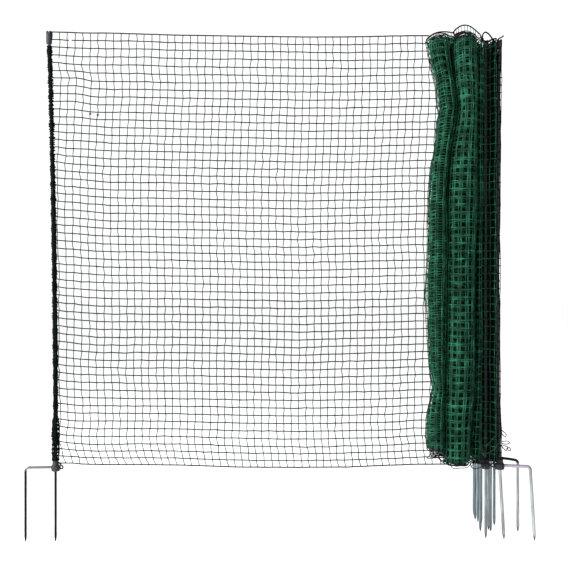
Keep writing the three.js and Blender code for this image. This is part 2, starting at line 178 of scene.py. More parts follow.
# Loose cord at the top of the rolls, above their rows: arcs and loops as X, Y, Z
TOP_ARCS = {
    "first_roll_outer": [
        (290, 10, 1021), (297, 12, 1029), (308, 14, 1036), (324, 14, 1039.5), (339, 12, 1038),
        (346, 10, 1035), (349, 8, 1029),
    ],
    "first_roll_inner": [
        (296, -8, 1017), (301, -14, 1020), (318, -17, 1023.5), (324.5, -15, 1028), (332, -14, 1024),
        (342, -10, 1023), (347, -4, 1019),
    ],
    "first_roll_low": [(326, -12, 1016), (332, -13, 1018), (342, -10, 1017.5), (347, -4, 1013)],
    "first_fold_back": [
        (345, 8, 1036), (350, 10, 1043), (359.5, 12, 1050), (370, 12, 1052.5), (380.5, 12, 1050),
        (390, 10, 1042), (399, 8, 1033), (401.5, 8, 1027), (403, 10, 1018),
    ],
    "first_fold_front": [
        (341, -24, 1022), (346.5, -27, 1025.5), (357.7, -29, 1028.3), (368.9, -29, 1026),
        (378.7, -26, 1022), (381.5, -20, 1016),
    ],
    "first_fold_front_low": [
        (343, -25, 1019), (349, -28, 1023), (358, -30, 1025.5), (367, -30, 1024), (376, -27, 1019),
    ],
    "second_fold_loop": [
        (407, 18, 1023), (407.5, 20, 1034), (412, 22, 1040), (418, 22, 1038.5), (426, 20, 1028),
        (429, 18, 1020),
    ],
    "cord_end": [(436, 14, 1021), (440, 16, 1026), (445, 17, 1028.5), (449.5, 17, 1032)],
}

# Loose cord at the foot of the rolls
BOTTOM_LOOPS = [
    [(298, -8, 186), (294, -10, 178), (289.5, -8, 171.5), (307, -8, 172), (332, -6, 172.5),
     (340, 0, 174)],
    [(299, -6, 188), (301, -9, 178), (310, -10, 173.5), (318, -9, 165), (323, -8, 163),
     (330, -8, 175), (325, -6, 187)],
    [(313, -4, 190), (310, -7, 180), (315, -9, 170), (322, -9, 167), (330, -7, 178),
     (334, -4, 192)],
    [(303, -2, 188), (313, -5, 181), (321, -6, 176), (333, -4, 184), (337, 0, 190)],
    [(337, -8, 163), (338.5, -10, 154), (345.5, -11, 150.8), (354, -11, 152), (364, -11, 152.4),
     (372, -10, 154.5), (377, -8, 160)],
    [(378, 2, 162), (380, 0, 153), (385, -2, 149.5), (393, -2, 150.5), (401, 0, 153.5),
     (402, 4, 163)],
    [(381, 4, 152), (388, 2, 163), (394, 2, 167), (400, 4, 158), (406, 6, 152)],
]

# Loose ends that curl out at the right of the upright post
RIGHT_CURLS = [
    [(446, 27, 224), (450, 24, 221), (454, 22, 217.5), (456.5, 22, 213.5), (453, 23, 210.5),
     (449, 26, 214.5), (446, 28, 219)],
    [(446, 28, 201), (450, 24, 200.5), (458, 22, 201.5), (463, 22, 198), (458, 22, 195),
     (450, 24, 195.5), (446, 28, 197)],
    [(446, 28, 192), (450, 25, 187.5), (456, 23, 181.5), (458, 22, 188), (461, 22, 181.5),
     (465.5, 22, 184.5), (458, 23, 190), (450, 26, 192)],
]

# Stray strands across the posts
STRAY_STRANDS = [
    [(430, 2, 216), (420, 4, 203), (408, 2, 193)],
    [(444, 14, 209), (430, 4, 190), (408, 2, 176)],
]


def step_along(pairs, row):
    """Value at a row between the entries of a list of (row, value)."""
    rows, values = zip(*pairs)
    return np.interp(row, rows, values)


def bow(post, z):
    """How far a post stands to the right of its straight line at a height."""
    return step_along(BOWS[post], z) if post in BOWS else 0.0 * z


def first_roll_side(row):
    return FIRST_ROLL_X + step_along(FIRST_ROLL_LEFT, row)


def first_fold_side(row):
    return FIRST_FOLD_X + step_along(FIRST_FOLD, row)


def first_roll_right(row):
    """The first roll's top leans away from the fold beside it."""
    return first_fold_side(row) - np.interp(row, [46, 50, 54, 56], [0, 3, 5, 6])


def second_fold_side(row):
    return SECOND_FOLD_X + step_along(SECOND_FOLD, row)


def third_roll_right(row):
    return THIRD_ROLL_X + np.interp(row, [0, 10, 40, 56], [-1, 1, 1, 4])


def fourth_roll_side(row):
    """The fourth roll hides behind the first one and follows its bends."""
    return first_roll_side(row) * 1.025 + 6


def level(value):
    """A side that stands straight up."""
    return lambda row: value + 0 * row


# Net strands stretched tight in a roll are this much of their spread thickness
TIGHT = 0.74

# Rolls: the sides by row, front and back, how square the section is, the height of the lowest row,
# the gap between turns, the looseness of the skin and the turns shown over the core. The top edge
# is lifted, drops by its crown at the two sides and by each inner turn, and its rows below are
# bunched. The core is as much fuller at the top as "full" says.
ROLLS = {
    1: {"left": first_roll_side, "right": first_roll_right, "front": -22, "back": 46, "round": 2.5,
        "low": 186, "gap": 1.5, "loose": 2.0, "shown": 3.6, "lift": 0, "crown": 9, "inner": 4,
        "bunched": 3, "full": 4},
    2: {"left": first_fold_side, "right": second_fold_side, "front": -30, "back": 46, "round": 2.4,
        "low": 159, "gap": 1.3, "loose": 0.8, "shown": 3.6, "lift": 0, "crown": 9, "inner": 3,
        "bunched": 6, "full": 9},
    3: {"left": second_fold_side, "right": third_roll_right, "front": -6, "back": 46, "round": 2.4,
        "low": 160, "gap": 1.2, "loose": 0.5, "shown": 2.6, "lift": -3, "crown": 5, "inner": 4},
    4: {"left": fourth_roll_side, "right": level(398), "front": 44.5, "back": 79, "round": 3.8,
        "low": 166, "gap": 1.8, "loose": 0.6, "shown": 1.5, "lift": 6, "crown": 4, "inner": 2},
    5: {"left": level(330), "right": level(410.5), "front": 77, "back": 123, "round": 3.8,
        "low": 166, "gap": 1.8, "loose": 0.6, "shown": 1.5, "lift": 0, "crown": 4, "inner": 2},
    6: {"left": level(345), "right": level(453.5), "front": 121, "back": 183, "round": 3.8,
        "low": 166, "gap": 1.8, "loose": 0.6, "shown": 1.6, "lift": 0, "crown": 4, "inner": 2},
    7: {"left": level(352), "right": level(419.5), "front": 181, "back": 218, "round": 3.4,
        "low": 171, "gap": 1.8, "loose": 0.6, "shown": 1.6, "lift": 0, "crown": 4, "inner": 2},
    8: {"left": level(424), "right": level(444), "front": 31, "back": 56, "round": 3.0,
        "low": 163, "gap": 1.4, "loose": 0.5, "shown": 0.6, "lift": -8, "crown": 2, "inner": 1},
    9: {"left": level(421.5), "right": level(430.5), "front": 82, "back": 116, "round": 3.0,
        "low": 166, "gap": 1.4, "loose": 0.5, "shown": 1.2, "lift": -4, "crown": 2, "inner": 1},
}


# The last stretch, folded between the two foremost posts: each pass as places in plan
LAST_PASSES = [
    [(403, 12), (409, 22), (416, 26.3), (421, 18), (426, 4), (431, 0), (434, 12), (435, 30),
     (433, 46)],
    [(434, 52), (429, 30), (427, 8), (431, 3), (433, 20), (431, 46)],
    [(423, 54), (423, 30), (425, 12), (427, 10), (429, 24), (426, 48), (424, 55)],
]

# Turns round the two foremost posts, by post: centre and radius in plan, and how many
POST_TURNS = {2: (416, 31, 4.6, 1.2), 1: (443, 24, 4.2, 3.1)}


# Camera and light: place of the camera, its lens, the sky's strength at the far left and right and
# as the camera sees it, the floor's own glow, and the lamps' place, width and power
CAMERA_PLACE = (0.0, -2000.0, 523.7)
LENS = 62.44
SKY_LEFT = 0.92
SKY_RIGHT = 0.08
SKY_SEEN = 1.1
FLOOR_GLOW = 0.55
LAMP_AIM = (0.25, 0.0, 0.55)
LAMPS = {
    "key_light": ((-2.5, -1.5, 1.5), 1.0, 155.0),
    "fill_light": ((0.0, -2.8, 1.3), 1.4, 9.0),
}

# Sizes and colours that a user would change


def distance_property(name, description, default, low, high):
    return FloatProperty(
        name=name,
        description=description,
        default=default,
        min=low,
        max=high,
        precision=4,
        subtype="DISTANCE",
    )


def colour_property(name, description, default):
    return FloatVectorProperty(
        name=name, description=description, default=default, subtype="COLOR", min=0.0, max=1.0
    )


class NettingSizes(bpy.types.PropertyGroup):
    cross_strand: distance_property(
        "Cross strand", "Thickness of the strands that run along the net", 0.0024, 0.0004, 0.003
    )
    upright_strand: distance_property(
        "Upright strand", "Thickness of the strands that run up the net", 0.0018, 0.0004, 0.003
    )
    border_cord: distance_property(
        "Border cord", "Thickness of the cord along the net's edges", 0.0026, 0.001, 0.004
    )
    kinks: distance_property(
        "Kinks", "How far a strand strays from its smooth line", 0.0004, 0.0, 0.002
    )
    seed: IntProperty(
        name="Seed",
        description="Number that settles the net's uneven places",
        default=7,
        min=0,
        subtype="UNSIGNED",
    )


class NettingColours(bpy.types.PropertyGroup):
    net: colour_property(
        "Rolled net", "Colour of the net where it is rolled up", (0.0125, 0.08, 0.043)
    )
    # Painted shade: the spread stretch is the rolled net's own strand, given a darker, greyer
    # green.
    spread_net: colour_property(
        "Spread net", "Colour of the net's spread stretch", (0.008, 0.02, 0.014)
    )
    cord: colour_property("Border cord", "Colour of the border cords", (0.006, 0.004, 0.008))
    plastic: colour_property(
        "Posts", "Colour of the posts, heads and collars", (0.002, 0.002, 0.003)
    )
    zinc: colour_property("Prongs", "Colour of the zinc on the prongs", (0.135, 0.175, 0.19))
    floor: colour_property("Floor", "Colour of the floor", (0.9, 0.9, 0.9))


# Places


def drawing_shift():
    """Step from the drawing's axes to the frame's, in millimetres, found from the upright post."""
    low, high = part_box("post_2")
    return np.array(
        [
            (low.x + high.x) / 2 / MM - POSTS[1]["x"],
            (low.y + high.y) / 2 / MM - POSTS[1]["y"],
            low.z / MM - POST_BOTTOM,
        ]
    )


SHIFT = drawing_shift()


def in_frame(points):
    """Points in the drawing's millimetres, as metres in the frame."""
    return (np.asarray(points, float) + SHIFT) * MM


def post_matrix(post):
    """Places a post's own millimetres, with the tip of its first prong at the origin, in metres."""
    lean = math.radians(post["lean"])
    turn = math.radians(post["bar"])
    dip = max(0.0, -PRONG_SPACING * math.cos(turn) * math.sin(lean))
    place = Vector((post["x"] + PRONG_LENGTH * math.sin(lean), post["y"], post["raised"] + dip))
    place += Vector(SHIFT)
    return Matrix.Scale(MM, 4) @ Matrix.Translation(place) @ Matrix.Rotation(-lean, 4, "Y")


# Materials


def new_material(name):
    material = bpy.data.materials.new(name)
    material.use_nodes = True
    return material, material.node_tree, material.node_tree.nodes["Principled BSDF"]


def add_node(tree, kind, **values):
    node = tree.nodes.new(kind)
    for key, value in values.items():
        setattr(node, key, value)
    return node


def noise(tree, vector, scale, detail=2.0):
    node = add_node(tree, "ShaderNodeTexNoise")
    node.inputs["Scale"].default_value = scale
    node.inputs["Detail"].default_value = detail
    tree.links.new(vector, node.inputs["Vector"])
    return node.outputs["Fac"]


def ramp(tree, factor, stops):
    node = add_node(tree, "ShaderNodeValToRGB")
    elements = node.color_ramp.elements
    while len(elements) < len(stops):
        elements.new(0.5)
    for element, (place, colour) in zip(elements, stops):
        element.position = place
        element.color = (*colour, 1.0)
    tree.links.new(factor, node.inputs["Fac"])
    return node.outputs["Color"]


def spread_range(tree, factor, low, high):
    node = add_node(tree, "ShaderNodeMapRange")
    node.inputs["To Min"].default_value = low
    node.inputs["To Max"].default_value = high
    tree.links.new(factor, node.inputs["Value"])
    return node.outputs["Result"]


def bump(tree, height, strength, distance):
    node = add_node(tree, "ShaderNodeBump")
    node.inputs["Strength"].default_value = strength
    node.inputs["Distance"].default_value = distance
    tree.links.new(height, node.inputs["Height"])
    return node.outputs["Normal"]


def object_place(tree):
    return add_node(tree, "ShaderNodeTexCoord").outputs["Object"]


def stretched(tree, vector, scale):
    node = add_node(tree, "ShaderNodeMapping")
    node.inputs["Scale"].default_value = scale
    tree.links.new(vector, node.inputs["Vector"])
    return node.outputs["Vector"]


def shade(colour, factor):
    return tuple(min(1.0, c * factor) for c in colour)


def net_material(name, colour, gloss):
    """Extruded green strands: uneven colour from thick to thin places, fine lengthwise grooves."""
    material, tree, shader = new_material(name)
    place = object_place(tree)
    patches = noise(tree, place, 55.0, 3.0)
    colours = ramp(
        tree,
        patches,
        [(0.3, shade(colour, 0.4)), (0.52, tuple(colour)), (0.7, shade(colour, 2.3))],
    )
    tree.links.new(colours, shader.inputs["Base Color"])
    grain = noise(tree, place, 900.0, 2.0)
    tree.links.new(spread_range(tree, grain, 0.42, 0.7), shader.inputs["Roughness"])
    tree.links.new(bump(tree, grain, 0.35, 0.0002), shader.inputs["Normal"])
    shader.inputs["Specular IOR Level"].default_value = gloss
    return material


def core_material(colour):
    """The tight inner turns of a roll, pressed together: crossing strands and the dark gaps between
    them, all in the net's green darkened as painted shade.
    """
    material, tree, shader = new_material("rolled_net_core_painted_shade")
    place = object_place(tree)
    heights = []
    for direction, scale in (("Z", 42.0), ("DIAGONAL", 60.0)):
        bands = add_node(tree, "ShaderNodeTexWave", wave_type="BANDS", bands_direction=direction)
        bands.inputs["Scale"].default_value = scale
        bands.inputs["Distortion"].default_value = 2.2
        bands.inputs["Detail Scale"].default_value = 2.0
        tree.links.new(place, bands.inputs["Vector"])
        heights.append(bands.outputs["Fac"])
    top = add_node(tree, "ShaderNodeMath", operation="MAXIMUM")
    for k in (0, 1):
        tree.links.new(heights[k], top.inputs[k])
    # Painted shade: the net's green at 2, 10 and 30 hundredths, for the shade deep inside the roll.
    colours = ramp(
        tree,
        top.outputs["Value"],
        [(0.55, shade(colour, 0.02)), (0.85, shade(colour, 0.1)), (1.0, shade(colour, 0.3))],
    )
    tree.links.new(colours, shader.inputs["Base Color"])
    shader.inputs["Roughness"].default_value = 0.8
    shader.inputs["Specular IOR Level"].default_value = 0.03
    tree.links.new(bump(tree, top.outputs["Value"], 0.8, 0.002), shader.inputs["Normal"])
    return material


def cord_material(colour):
    """Braided cord: slanting lay of its strands in bump and colour, and a dull sheen."""
    material, tree, shader = new_material("border_cord_braid")
    place = object_place(tree)
    wave = add_node(tree, "ShaderNodeTexWave", wave_type="BANDS", bands_direction="DIAGONAL")
    wave.inputs["Scale"].default_value = 260.0
    wave.inputs["Distortion"].default_value = 1.5
    tree.links.new(place, wave.inputs["Vector"])
    stops = [(0.1, shade(colour, 0.6)), (0.6, colour), (1.0, shade(colour, 2.6))]
    colours = ramp(tree, wave.outputs["Fac"], stops)
    tree.links.new(colours, shader.inputs["Base Color"])
    fuzz = noise(tree, place, 1500.0, 2.0)
    tree.links.new(spread_range(tree, fuzz, 0.6, 0.85), shader.inputs["Roughness"])
    tree.links.new(bump(tree, wave.outputs["Fac"], 0.6, 0.0004), shader.inputs["Normal"])
    shader.inputs["Specular IOR Level"].default_value = 0.12
    return material


def plastic_material(name, colour, roughness):
    """Moulded or drawn plastic: faint streaks up the post, scuffs in the gloss."""
    material, tree, shader = new_material(name)
    place = object_place(tree)
    streaks = noise(tree, stretched(tree, place, (900.0, 900.0, 14.0)), 1.0, 3.0)
    colours = ramp(
        tree, streaks, [(0.3, shade(colour, 0.7)), (0.55, colour), (0.8, shade(colour, 2.2))]
    )
    tree.links.new(colours, shader.inputs["Base Color"])
    scuffs = noise(tree, place, 240.0, 4.0)
    tree.links.new(
        spread_range(tree, scuffs, roughness - 0.1, roughness + 0.15), shader.inputs["Roughness"]
    )
    tree.links.new(bump(tree, streaks, 0.15, 0.0002), shader.inputs["Normal"])
    shader.inputs["IOR"].default_value = 1.08
    return material


def zinc_material(name, colour, tip_colour, bar_colour):
    """Galvanised wire: cloudy zinc, drawing marks along the rods, dark ends and a step bar in its
    own colour, a painted highlight on the front foot and a painted shade on the back one.
    """
    material, tree, shader = new_material(name)
    place = object_place(tree)
    clouds = noise(tree, stretched(tree, place, (260.0, 260.0, 22.0)), 1.0, 4.0)
    coat = ramp(
        tree, clouds, [(0.3, shade(colour, 0.5)), (0.5, colour), (0.7, shade(colour, 1.6))]
    )
    height = add_node(tree, "ShaderNodeSeparateXYZ")
    tree.links.new(place, height.inputs["Vector"])
    for low, high, other, key in (
        (0.004, 0.012, tip_colour, "A"), (0.143, 0.147, bar_colour, "B")
    ):
        where = add_node(tree, "ShaderNodeMapRange")
        where.inputs["From Min"].default_value = low
        where.inputs["From Max"].default_value = high
        tree.links.new(height.outputs["Z"], where.inputs["Value"])
        mix = add_node(tree, "ShaderNodeMix", data_type="RGBA")
        mix.inputs[key].default_value = (*other, 1.0)
        tree.links.new(where.outputs["Result"], mix.inputs["Factor"])
        tree.links.new(coat, mix.inputs["B" if key == "A" else "A"])
        coat = mix.outputs["Result"]
    tree.links.new(coat, shader.inputs["Base Color"])
    marks = noise(tree, stretched(tree, place, (1400.0, 1400.0, 60.0)), 1.0, 2.0)
    tree.links.new(spread_range(tree, marks, 0.28, 0.5), shader.inputs["Roughness"])
    tree.links.new(bump(tree, marks, 0.2, 0.0002), shader.inputs["Normal"])
    shader.inputs["Metallic"].default_value = 0.85
    return material


# Meshes


def link(name, mesh):
    mesh.name = name
    piece = bpy.data.objects.new(name, mesh)
    bpy.context.scene.collection.objects.link(piece)
    return piece


def finished(piece, slot, *nodes):
    """Joins a finished piece to the frame's body and hides the frame's parts that it stands for."""
    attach(piece, "root")
    if nodes:
        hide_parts(*nodes)
    return piece


def line_mesh(name, lines):
    """Mesh of loose lines, one for each list of points, in metres."""
    points = np.concatenate(lines)
    lengths = [len(line) for line in lines]
    edges = []
    start = 0
    for length in lengths:
        index = np.arange(start, start + length - 1)
        edges.append(np.stack([index, index + 1], 1))
        start += length
    edges = np.concatenate(edges)
    mesh = bpy.data.meshes.new(name + "_lines")
    mesh.vertices.add(len(points))
    mesh.vertices.foreach_set("co", points.astype(np.float32).ravel())
    mesh.edges.add(len(edges))
    mesh.edges.foreach_set("vertices", edges.astype(np.int32).ravel())
    mesh.update()
    return mesh


def maths(tree, operation, *values):
    """A math node on values that are numbers or sockets."""
    node = add_node(tree, "ShaderNodeMath", operation=operation)
    for k, value in enumerate(values):
        if isinstance(value, bpy.types.NodeSocket):
            tree.links.new(value, node.inputs[k])
        else:
            node.inputs[k].default_value = value
    return node.outputs["Value"]


def strand_tree():
    """Node tree that gives each line of a mesh its round strand, with kinks and thicker places."""
    name = "strands_along_lines"
    if name in bpy.data.node_groups:
        return bpy.data.node_groups[name]
    tree = bpy.data.node_groups.new(name, "GeometryNodeTree")
    face = tree.interface
    face.new_socket(name="Geometry", in_out="INPUT", socket_type="NodeSocketGeometry")
    for label, kind, low, value in (
        ("Diameter", "NodeSocketFloat", 0.0001, 0.0014),
        ("Kinks", "NodeSocketFloat", 0.0, 0.0004),
        ("Kink length", "NodeSocketFloat", 0.001, 0.02),
        ("Unevenness", "NodeSocketFloat", 0.0, 0.15),
        ("Sides", "NodeSocketInt", 3, 4),
        ("Seed", "NodeSocketInt", 0, 7),
    ):
        socket = face.new_socket(name=label, in_out="INPUT", socket_type=kind)
        socket.min_value = low
        socket.default_value = value
    face.new_socket(name="Material", in_out="INPUT", socket_type="NodeSocketMaterial")
    face.new_socket(name="Geometry", in_out="OUTPUT", socket_type="NodeSocketGeometry")
    given = add_node(tree, "NodeGroupInput").outputs
    join = tree.links.new

    place = add_node(tree, "GeometryNodeInputPosition")
    wobble = add_node(tree, "ShaderNodeTexNoise", noise_dimensions="4D")
    wobble.inputs["Detail"].default_value = 1.0
    join(place.outputs["Position"], wobble.inputs["Vector"])
    join(maths(tree, "DIVIDE", 1.0, given["Kink length"]), wobble.inputs["Scale"])
    join(given["Seed"], wobble.inputs["W"])
    centred = add_node(tree, "ShaderNodeVectorMath", operation="SUBTRACT")
    centred.inputs[1].default_value = (0.5, 0.5, 0.5)
    join(wobble.outputs["Color"], centred.inputs[0])
    stray = add_node(tree, "ShaderNodeVectorMath", operation="SCALE")
    join(centred.outputs["Vector"], stray.inputs[0])
    join(maths(tree, "MULTIPLY", given["Kinks"], 4.0), stray.inputs["Scale"])
    moved = add_node(tree, "GeometryNodeSetPosition")
    join(given["Geometry"], moved.inputs["Geometry"])
    join(stray.outputs["Vector"], moved.inputs["Offset"])

    curves = add_node(tree, "GeometryNodeMeshToCurve")
    join(moved.outputs["Geometry"], curves.inputs["Mesh"])
    fat = maths(tree, "SUBTRACT", wobble.outputs["Fac"], 0.5)
    swell = maths(tree, "MULTIPLY_ADD", fat, maths(tree, "MULTIPLY", given["Unevenness"], 4.0), 1.0)
    radius = maths(tree, "MULTIPLY", given["Diameter"], 0.5)
    sized = add_node(tree, "GeometryNodeSetCurveRadius")
    join(curves.outputs["Curve"], sized.inputs["Curve"])
    join(maths(tree, "MULTIPLY", radius, swell), sized.inputs["Radius"])
    circle = add_node(tree, "GeometryNodeCurvePrimitiveCircle")
    circle.inputs["Radius"].default_value = 1.0
    join(given["Sides"], circle.inputs["Resolution"])
    tube = add_node(tree, "GeometryNodeCurveToMesh")
    tube.inputs["Fill Caps"].default_value = True
    join(sized.outputs["Curve"], tube.inputs["Curve"])
    join(circle.outputs["Curve"], tube.inputs["Profile Curve"])
    if "Scale" in tube.inputs:
        join(add_node(tree, "GeometryNodeInputRadius").outputs["Radius"], tube.inputs["Scale"])

    smooth = add_node(tree, "GeometryNodeSetShadeSmooth")
    join(tube.outputs["Mesh"], smooth.inputs["Geometry"])
    whole = add_node(tree, "GeometryNodeRealizeInstances")
    join(smooth.outputs["Geometry"], whole.inputs["Geometry"])
    paint = add_node(tree, "GeometryNodeSetMaterial")
    join(whole.outputs["Geometry"], paint.inputs["Geometry"])
    join(given["Material"], paint.inputs["Material"])
    join(paint.outputs["Geometry"], add_node(tree, "NodeGroupOutput").inputs["Geometry"])
    return tree


def strands(name, lines, material, diameter, sides=4, kinks=0.0, length=0.02, uneven=0.1, seed=7):
    """Strands along lines given in metres, as one plain mesh piece."""
    carrier = link(name + "_carrier", line_mesh(name, lines))
    tree = strand_tree()
    modifier = carrier.modifiers.new("Strands", "NODES")
    modifier.node_group = tree
    values = {
        "Diameter": diameter,
        "Kinks": kinks,
        "Kink length": length,
        "Unevenness": uneven,
        "Sides": sides,
        "Seed": seed,
        "Material": material,
    }
    for item in tree.interface.items_tree:
        if item.in_out == "INPUT" and item.name in values:
            modifier[item.identifier] = values[item.name]
    shown = carrier.evaluated_get(bpy.context.evaluated_depsgraph_get())
    mesh = bpy.data.meshes.new_from_object(shown)
    lines_mesh = carrier.data
    bpy.data.objects.remove(carrier)
    bpy.data.meshes.remove(lines_mesh)
    if not len(mesh.polygons):
        raise RuntimeError(f"{name}: its strands came out empty")
    return link(name, mesh)


def lengths_along(path):
    """Length of a path up to each of its points."""
    return np.concatenate([[0], np.cumsum(np.linalg.norm(np.diff(path, axis=0), axis=1))])


def smooth_line(points, count):
    """Smooth curve through points, as count points."""
    points = np.asarray(points, float)
    steps = np.linalg.norm(np.diff(points, axis=0), axis=1)
    at = np.concatenate([[0], np.cumsum(np.maximum(steps, 1e-6))])
    padded = np.vstack([2 * points[0] - points[1], points, 2 * points[-1] - points[-2]])
    out = []
    for s in np.linspace(0, at[-1], count):
        i = min(int(np.searchsorted(at, s, side="right")) - 1, len(points) - 2)
        t = (s - at[i]) / (at[i + 1] - at[i])
        a, b, c, d = padded[i : i + 4]
        out.append(
            0.5
            * (
                2 * b
                + (c - a) * t
                + (2 * a - 5 * b + 4 * c - d) * t**2
                + (3 * b - a - 3 * c + d) * t**3
            )
        )
    return np.array(out)


def round_ring(shape, point, side, across, radius, sides):
    """Corners of a round ring about a point, across a path."""
    ring = []
    for k in range(sides):
        a = 2 * math.pi * k / sides
        out = side * math.cos(a) + across * math.sin(a)
        ring.append(shape.verts.new(point + out * radius))
    return ring


def skin(shape, rings):
    """Faces between each ring and the next, where a ring may be a single point."""
    for low, high in zip(rings, rings[1:]):
        sides = max(len(low), len(high))
        for k in range(sides if sides > 1 else 0):
            n = (k + 1) % sides
            if len(low) == 1:
                shape.faces.new((low[0], high[n], high[k]))
            elif len(high) == 1:
                shape.faces.new((low[k], low[n], high[0]))
            else:
                shape.faces.new((low[k], low[n], high[n], high[k]))


def lathe(profile, sides):
    """Closed mesh turned around Z from a list of (radius, height)."""
    shape = bmesh.new()
    rings = []
    for radius, height in profile:
        if radius < 1e-6:
            rings.append([shape.verts.new((0, 0, height))])
            continue
        ring = []
        for k in range(sides):
            a = 2 * math.pi * k / sides
            ring.append(shape.verts.new((radius * math.cos(a), radius * math.sin(a), height)))
        rings.append(ring)
    skin(shape, rings + rings[:1])
    bmesh.ops.recalc_face_normals(shape, faces=shape.faces)
    return shape


def sweep(path, radii, sides):
    """Closed round rod along a path, in a bmesh."""
    shape = bmesh.new()
    path = [Vector(p) for p in path]
    side = None
    rings = []
    for i, point in enumerate(path):
        ahead = (path[min(i + 1, len(path) - 1)] - path[max(i - 1, 0)]).normalized()
        if side is None:
            side = ahead.orthogonal().normalized()
        side = (side - ahead * side.dot(ahead)).normalized()
        across = ahead.cross(side)
        rings.append(round_ring(shape, point, side, across, radii[i], sides))
    skin(shape, rings)
    shape.faces.new(list(reversed(rings[0])))
    shape.faces.new(rings[-1])
    bmesh.ops.recalc_face_normals(shape, faces=shape.faces)
    return shape


def closed_ring(path, radius, sides):
    """Round ring along a closed path in the XZ plane."""
    shape = bmesh.new()
    path = [Vector(p) for p in path]
    rings = []
    count = len(path)
    across = Vector((0, 1, 0))
    for i, point in enumerate(path):
        ahead = (path[(i + 1) % count] - path[i - 1]).normalized()
        side = ahead.cross(across).normalized()
        rings.append(round_ring(shape, point, side, across, radius, sides))
    skin(shape, rings + rings[:1])
    bmesh.ops.recalc_face_normals(shape, faces=shape.faces)
    return shape


def merge(target, extra):
    """Adds one bmesh's faces to another."""
    made = bpy.data.meshes.new("part")
    extra.to_mesh(made)
    extra.free()
    target.from_mesh(made)
    bpy.data.meshes.remove(made)


def to_object(name, shape, material, matrix=None):
    mesh = bpy.data.meshes.new(name)
    if matrix is not None:
        shape.transform(matrix)
    for polygon in shape.faces:
        polygon.smooth = True
    shape.to_mesh(mesh)
    shape.free()
    mesh.materials.append(material)
    return link(name, mesh)


def joined(name, pieces):
    """One piece out of several, each keeping its own material."""
    shape = bmesh.new()
    mesh = bpy.data.meshes.new(name)
    for index, piece in enumerate(pieces):
        start = len(shape.faces)
        shape.from_mesh(piece.data)
        shape.faces.ensure_lookup_table()
        for face in shape.faces[start:]:
            face.material_index = index
        mesh.materials.append(piece.data.materials[0])
        old = piece.data
        bpy.data.objects.remove(piece)
        bpy.data.meshes.remove(old)
    shape.to_mesh(mesh)
    shape.free()
    return link(name, mesh)


def with_modifiers(piece):
    """Applies a piece's modifiers into its mesh."""
    shown = piece.evaluated_get(bpy.context.evaluated_depsgraph_get())
    mesh = bpy.data.meshes.new_from_object(shown)
    old = piece.data
    piece.modifiers.clear()
    piece.data = mesh
    bpy.data.meshes.remove(old)
    return piece


def cut(piece, cutter, operation="DIFFERENCE"):
    modifier = piece.modifiers.new("Cut", "BOOLEAN")
    modifier.operation = operation
    modifier.object = cutter
    modifier.solver = "EXACT"
    with_modifiers(piece)
    mesh = cutter.data
    bpy.data.objects.remove(cutter)
    bpy.data.meshes.remove(mesh)
    return piece


def soften(piece, width, angle=35.0):
    """Rounds a piece's sharp edges."""
    modifier = piece.modifiers.new("Soft edges", "BEVEL")
    modifier.width = width
    modifier.segments = 2
    modifier.limit_method = "ANGLE"
    modifier.angle_limit = math.radians(angle)
    with_modifiers(piece)
    for polygon in piece.data.polygons:
        polygon.use_smooth = True
    return piece


def moved_into_place(piece, matrix):
    piece.data.transform(matrix)
    piece.data.update()
    return piece


# Net


def bend_table(table, places, row, place):
    """Value of a table by row and place, in straight steps between its entries."""
    rows = sorted(table)
    columns = np.array([np.interp(place, places, table[r]) for r in rows])
    return np.array(
        [np.interp(row, rows, columns[:, i]) for i in range(columns.shape[1])]
    ).T


def panel_grid():
    """Crossing places of the spread net: (row, upright) to X, Y, Z in the drawing's axes."""
    rows = np.arange(ROWS)
    uprights = np.arange(-1, PANEL_UPRIGHTS + 5)
    base = FIRST_UPRIGHT + uprights * COLUMN_PITCH
    drift = bend_table(DRIFT, DRIFT_AT, rows, uprights)
    x = base[None, :] + drift
    sag_rows = sorted(SAG)
    z = np.zeros_like(x)
    for r in rows:
        heights = [np.interp(x[r], SAG_X, SAG[s]) for s in sag_rows]
        low = np.searchsorted(sag_rows, r, side="right") - 1
        low = min(max(low, 0), len(sag_rows) - 2)
        t = (r - sag_rows[low]) / (sag_rows[low + 1] - sag_rows[low])
        z[r] = NET_LOWEST + r * ROW_PITCH + (1 - t) * heights[low] + t * heights[low + 1]
    y = 0.0 * x
    return np.stack([x, y, z], -1)


def parted(line, axis, gap):
    """The two ends of a strand that is broken across a gap along an axis."""
    order = line[np.argsort(line[:, axis])]
    low, high = gap
    ends = []
    for keep, edge in ((order[:, axis] < low, low), (order[:, axis] > high, high)):
        tip = [np.interp(edge, order[:, axis], order[:, i]) for i in range(3)]
        part = order[keep]
        ends.append(np.vstack([part, tip] if edge == low else [tip, part]))
    return ends


def end_post_x(z):
    """X of the end post's middle at a height."""
    lean = math.radians(POSTS[0]["lean"])
    return POSTS[0]["x"] + (PRONG_LENGTH - z) * math.sin(lean) + bow(0, z)


def end_post_side(row):
    """X of the wound end post's right side at a row."""
    return end_post_x(NET_LOWEST + row * ROW_PITCH) + 4.5


def roll_depth(roll, turn):
    """How deep under a roll's skin a turn lies."""
    return roll["gap"] * turn + roll["loose"] * (1 - np.exp(-turn))


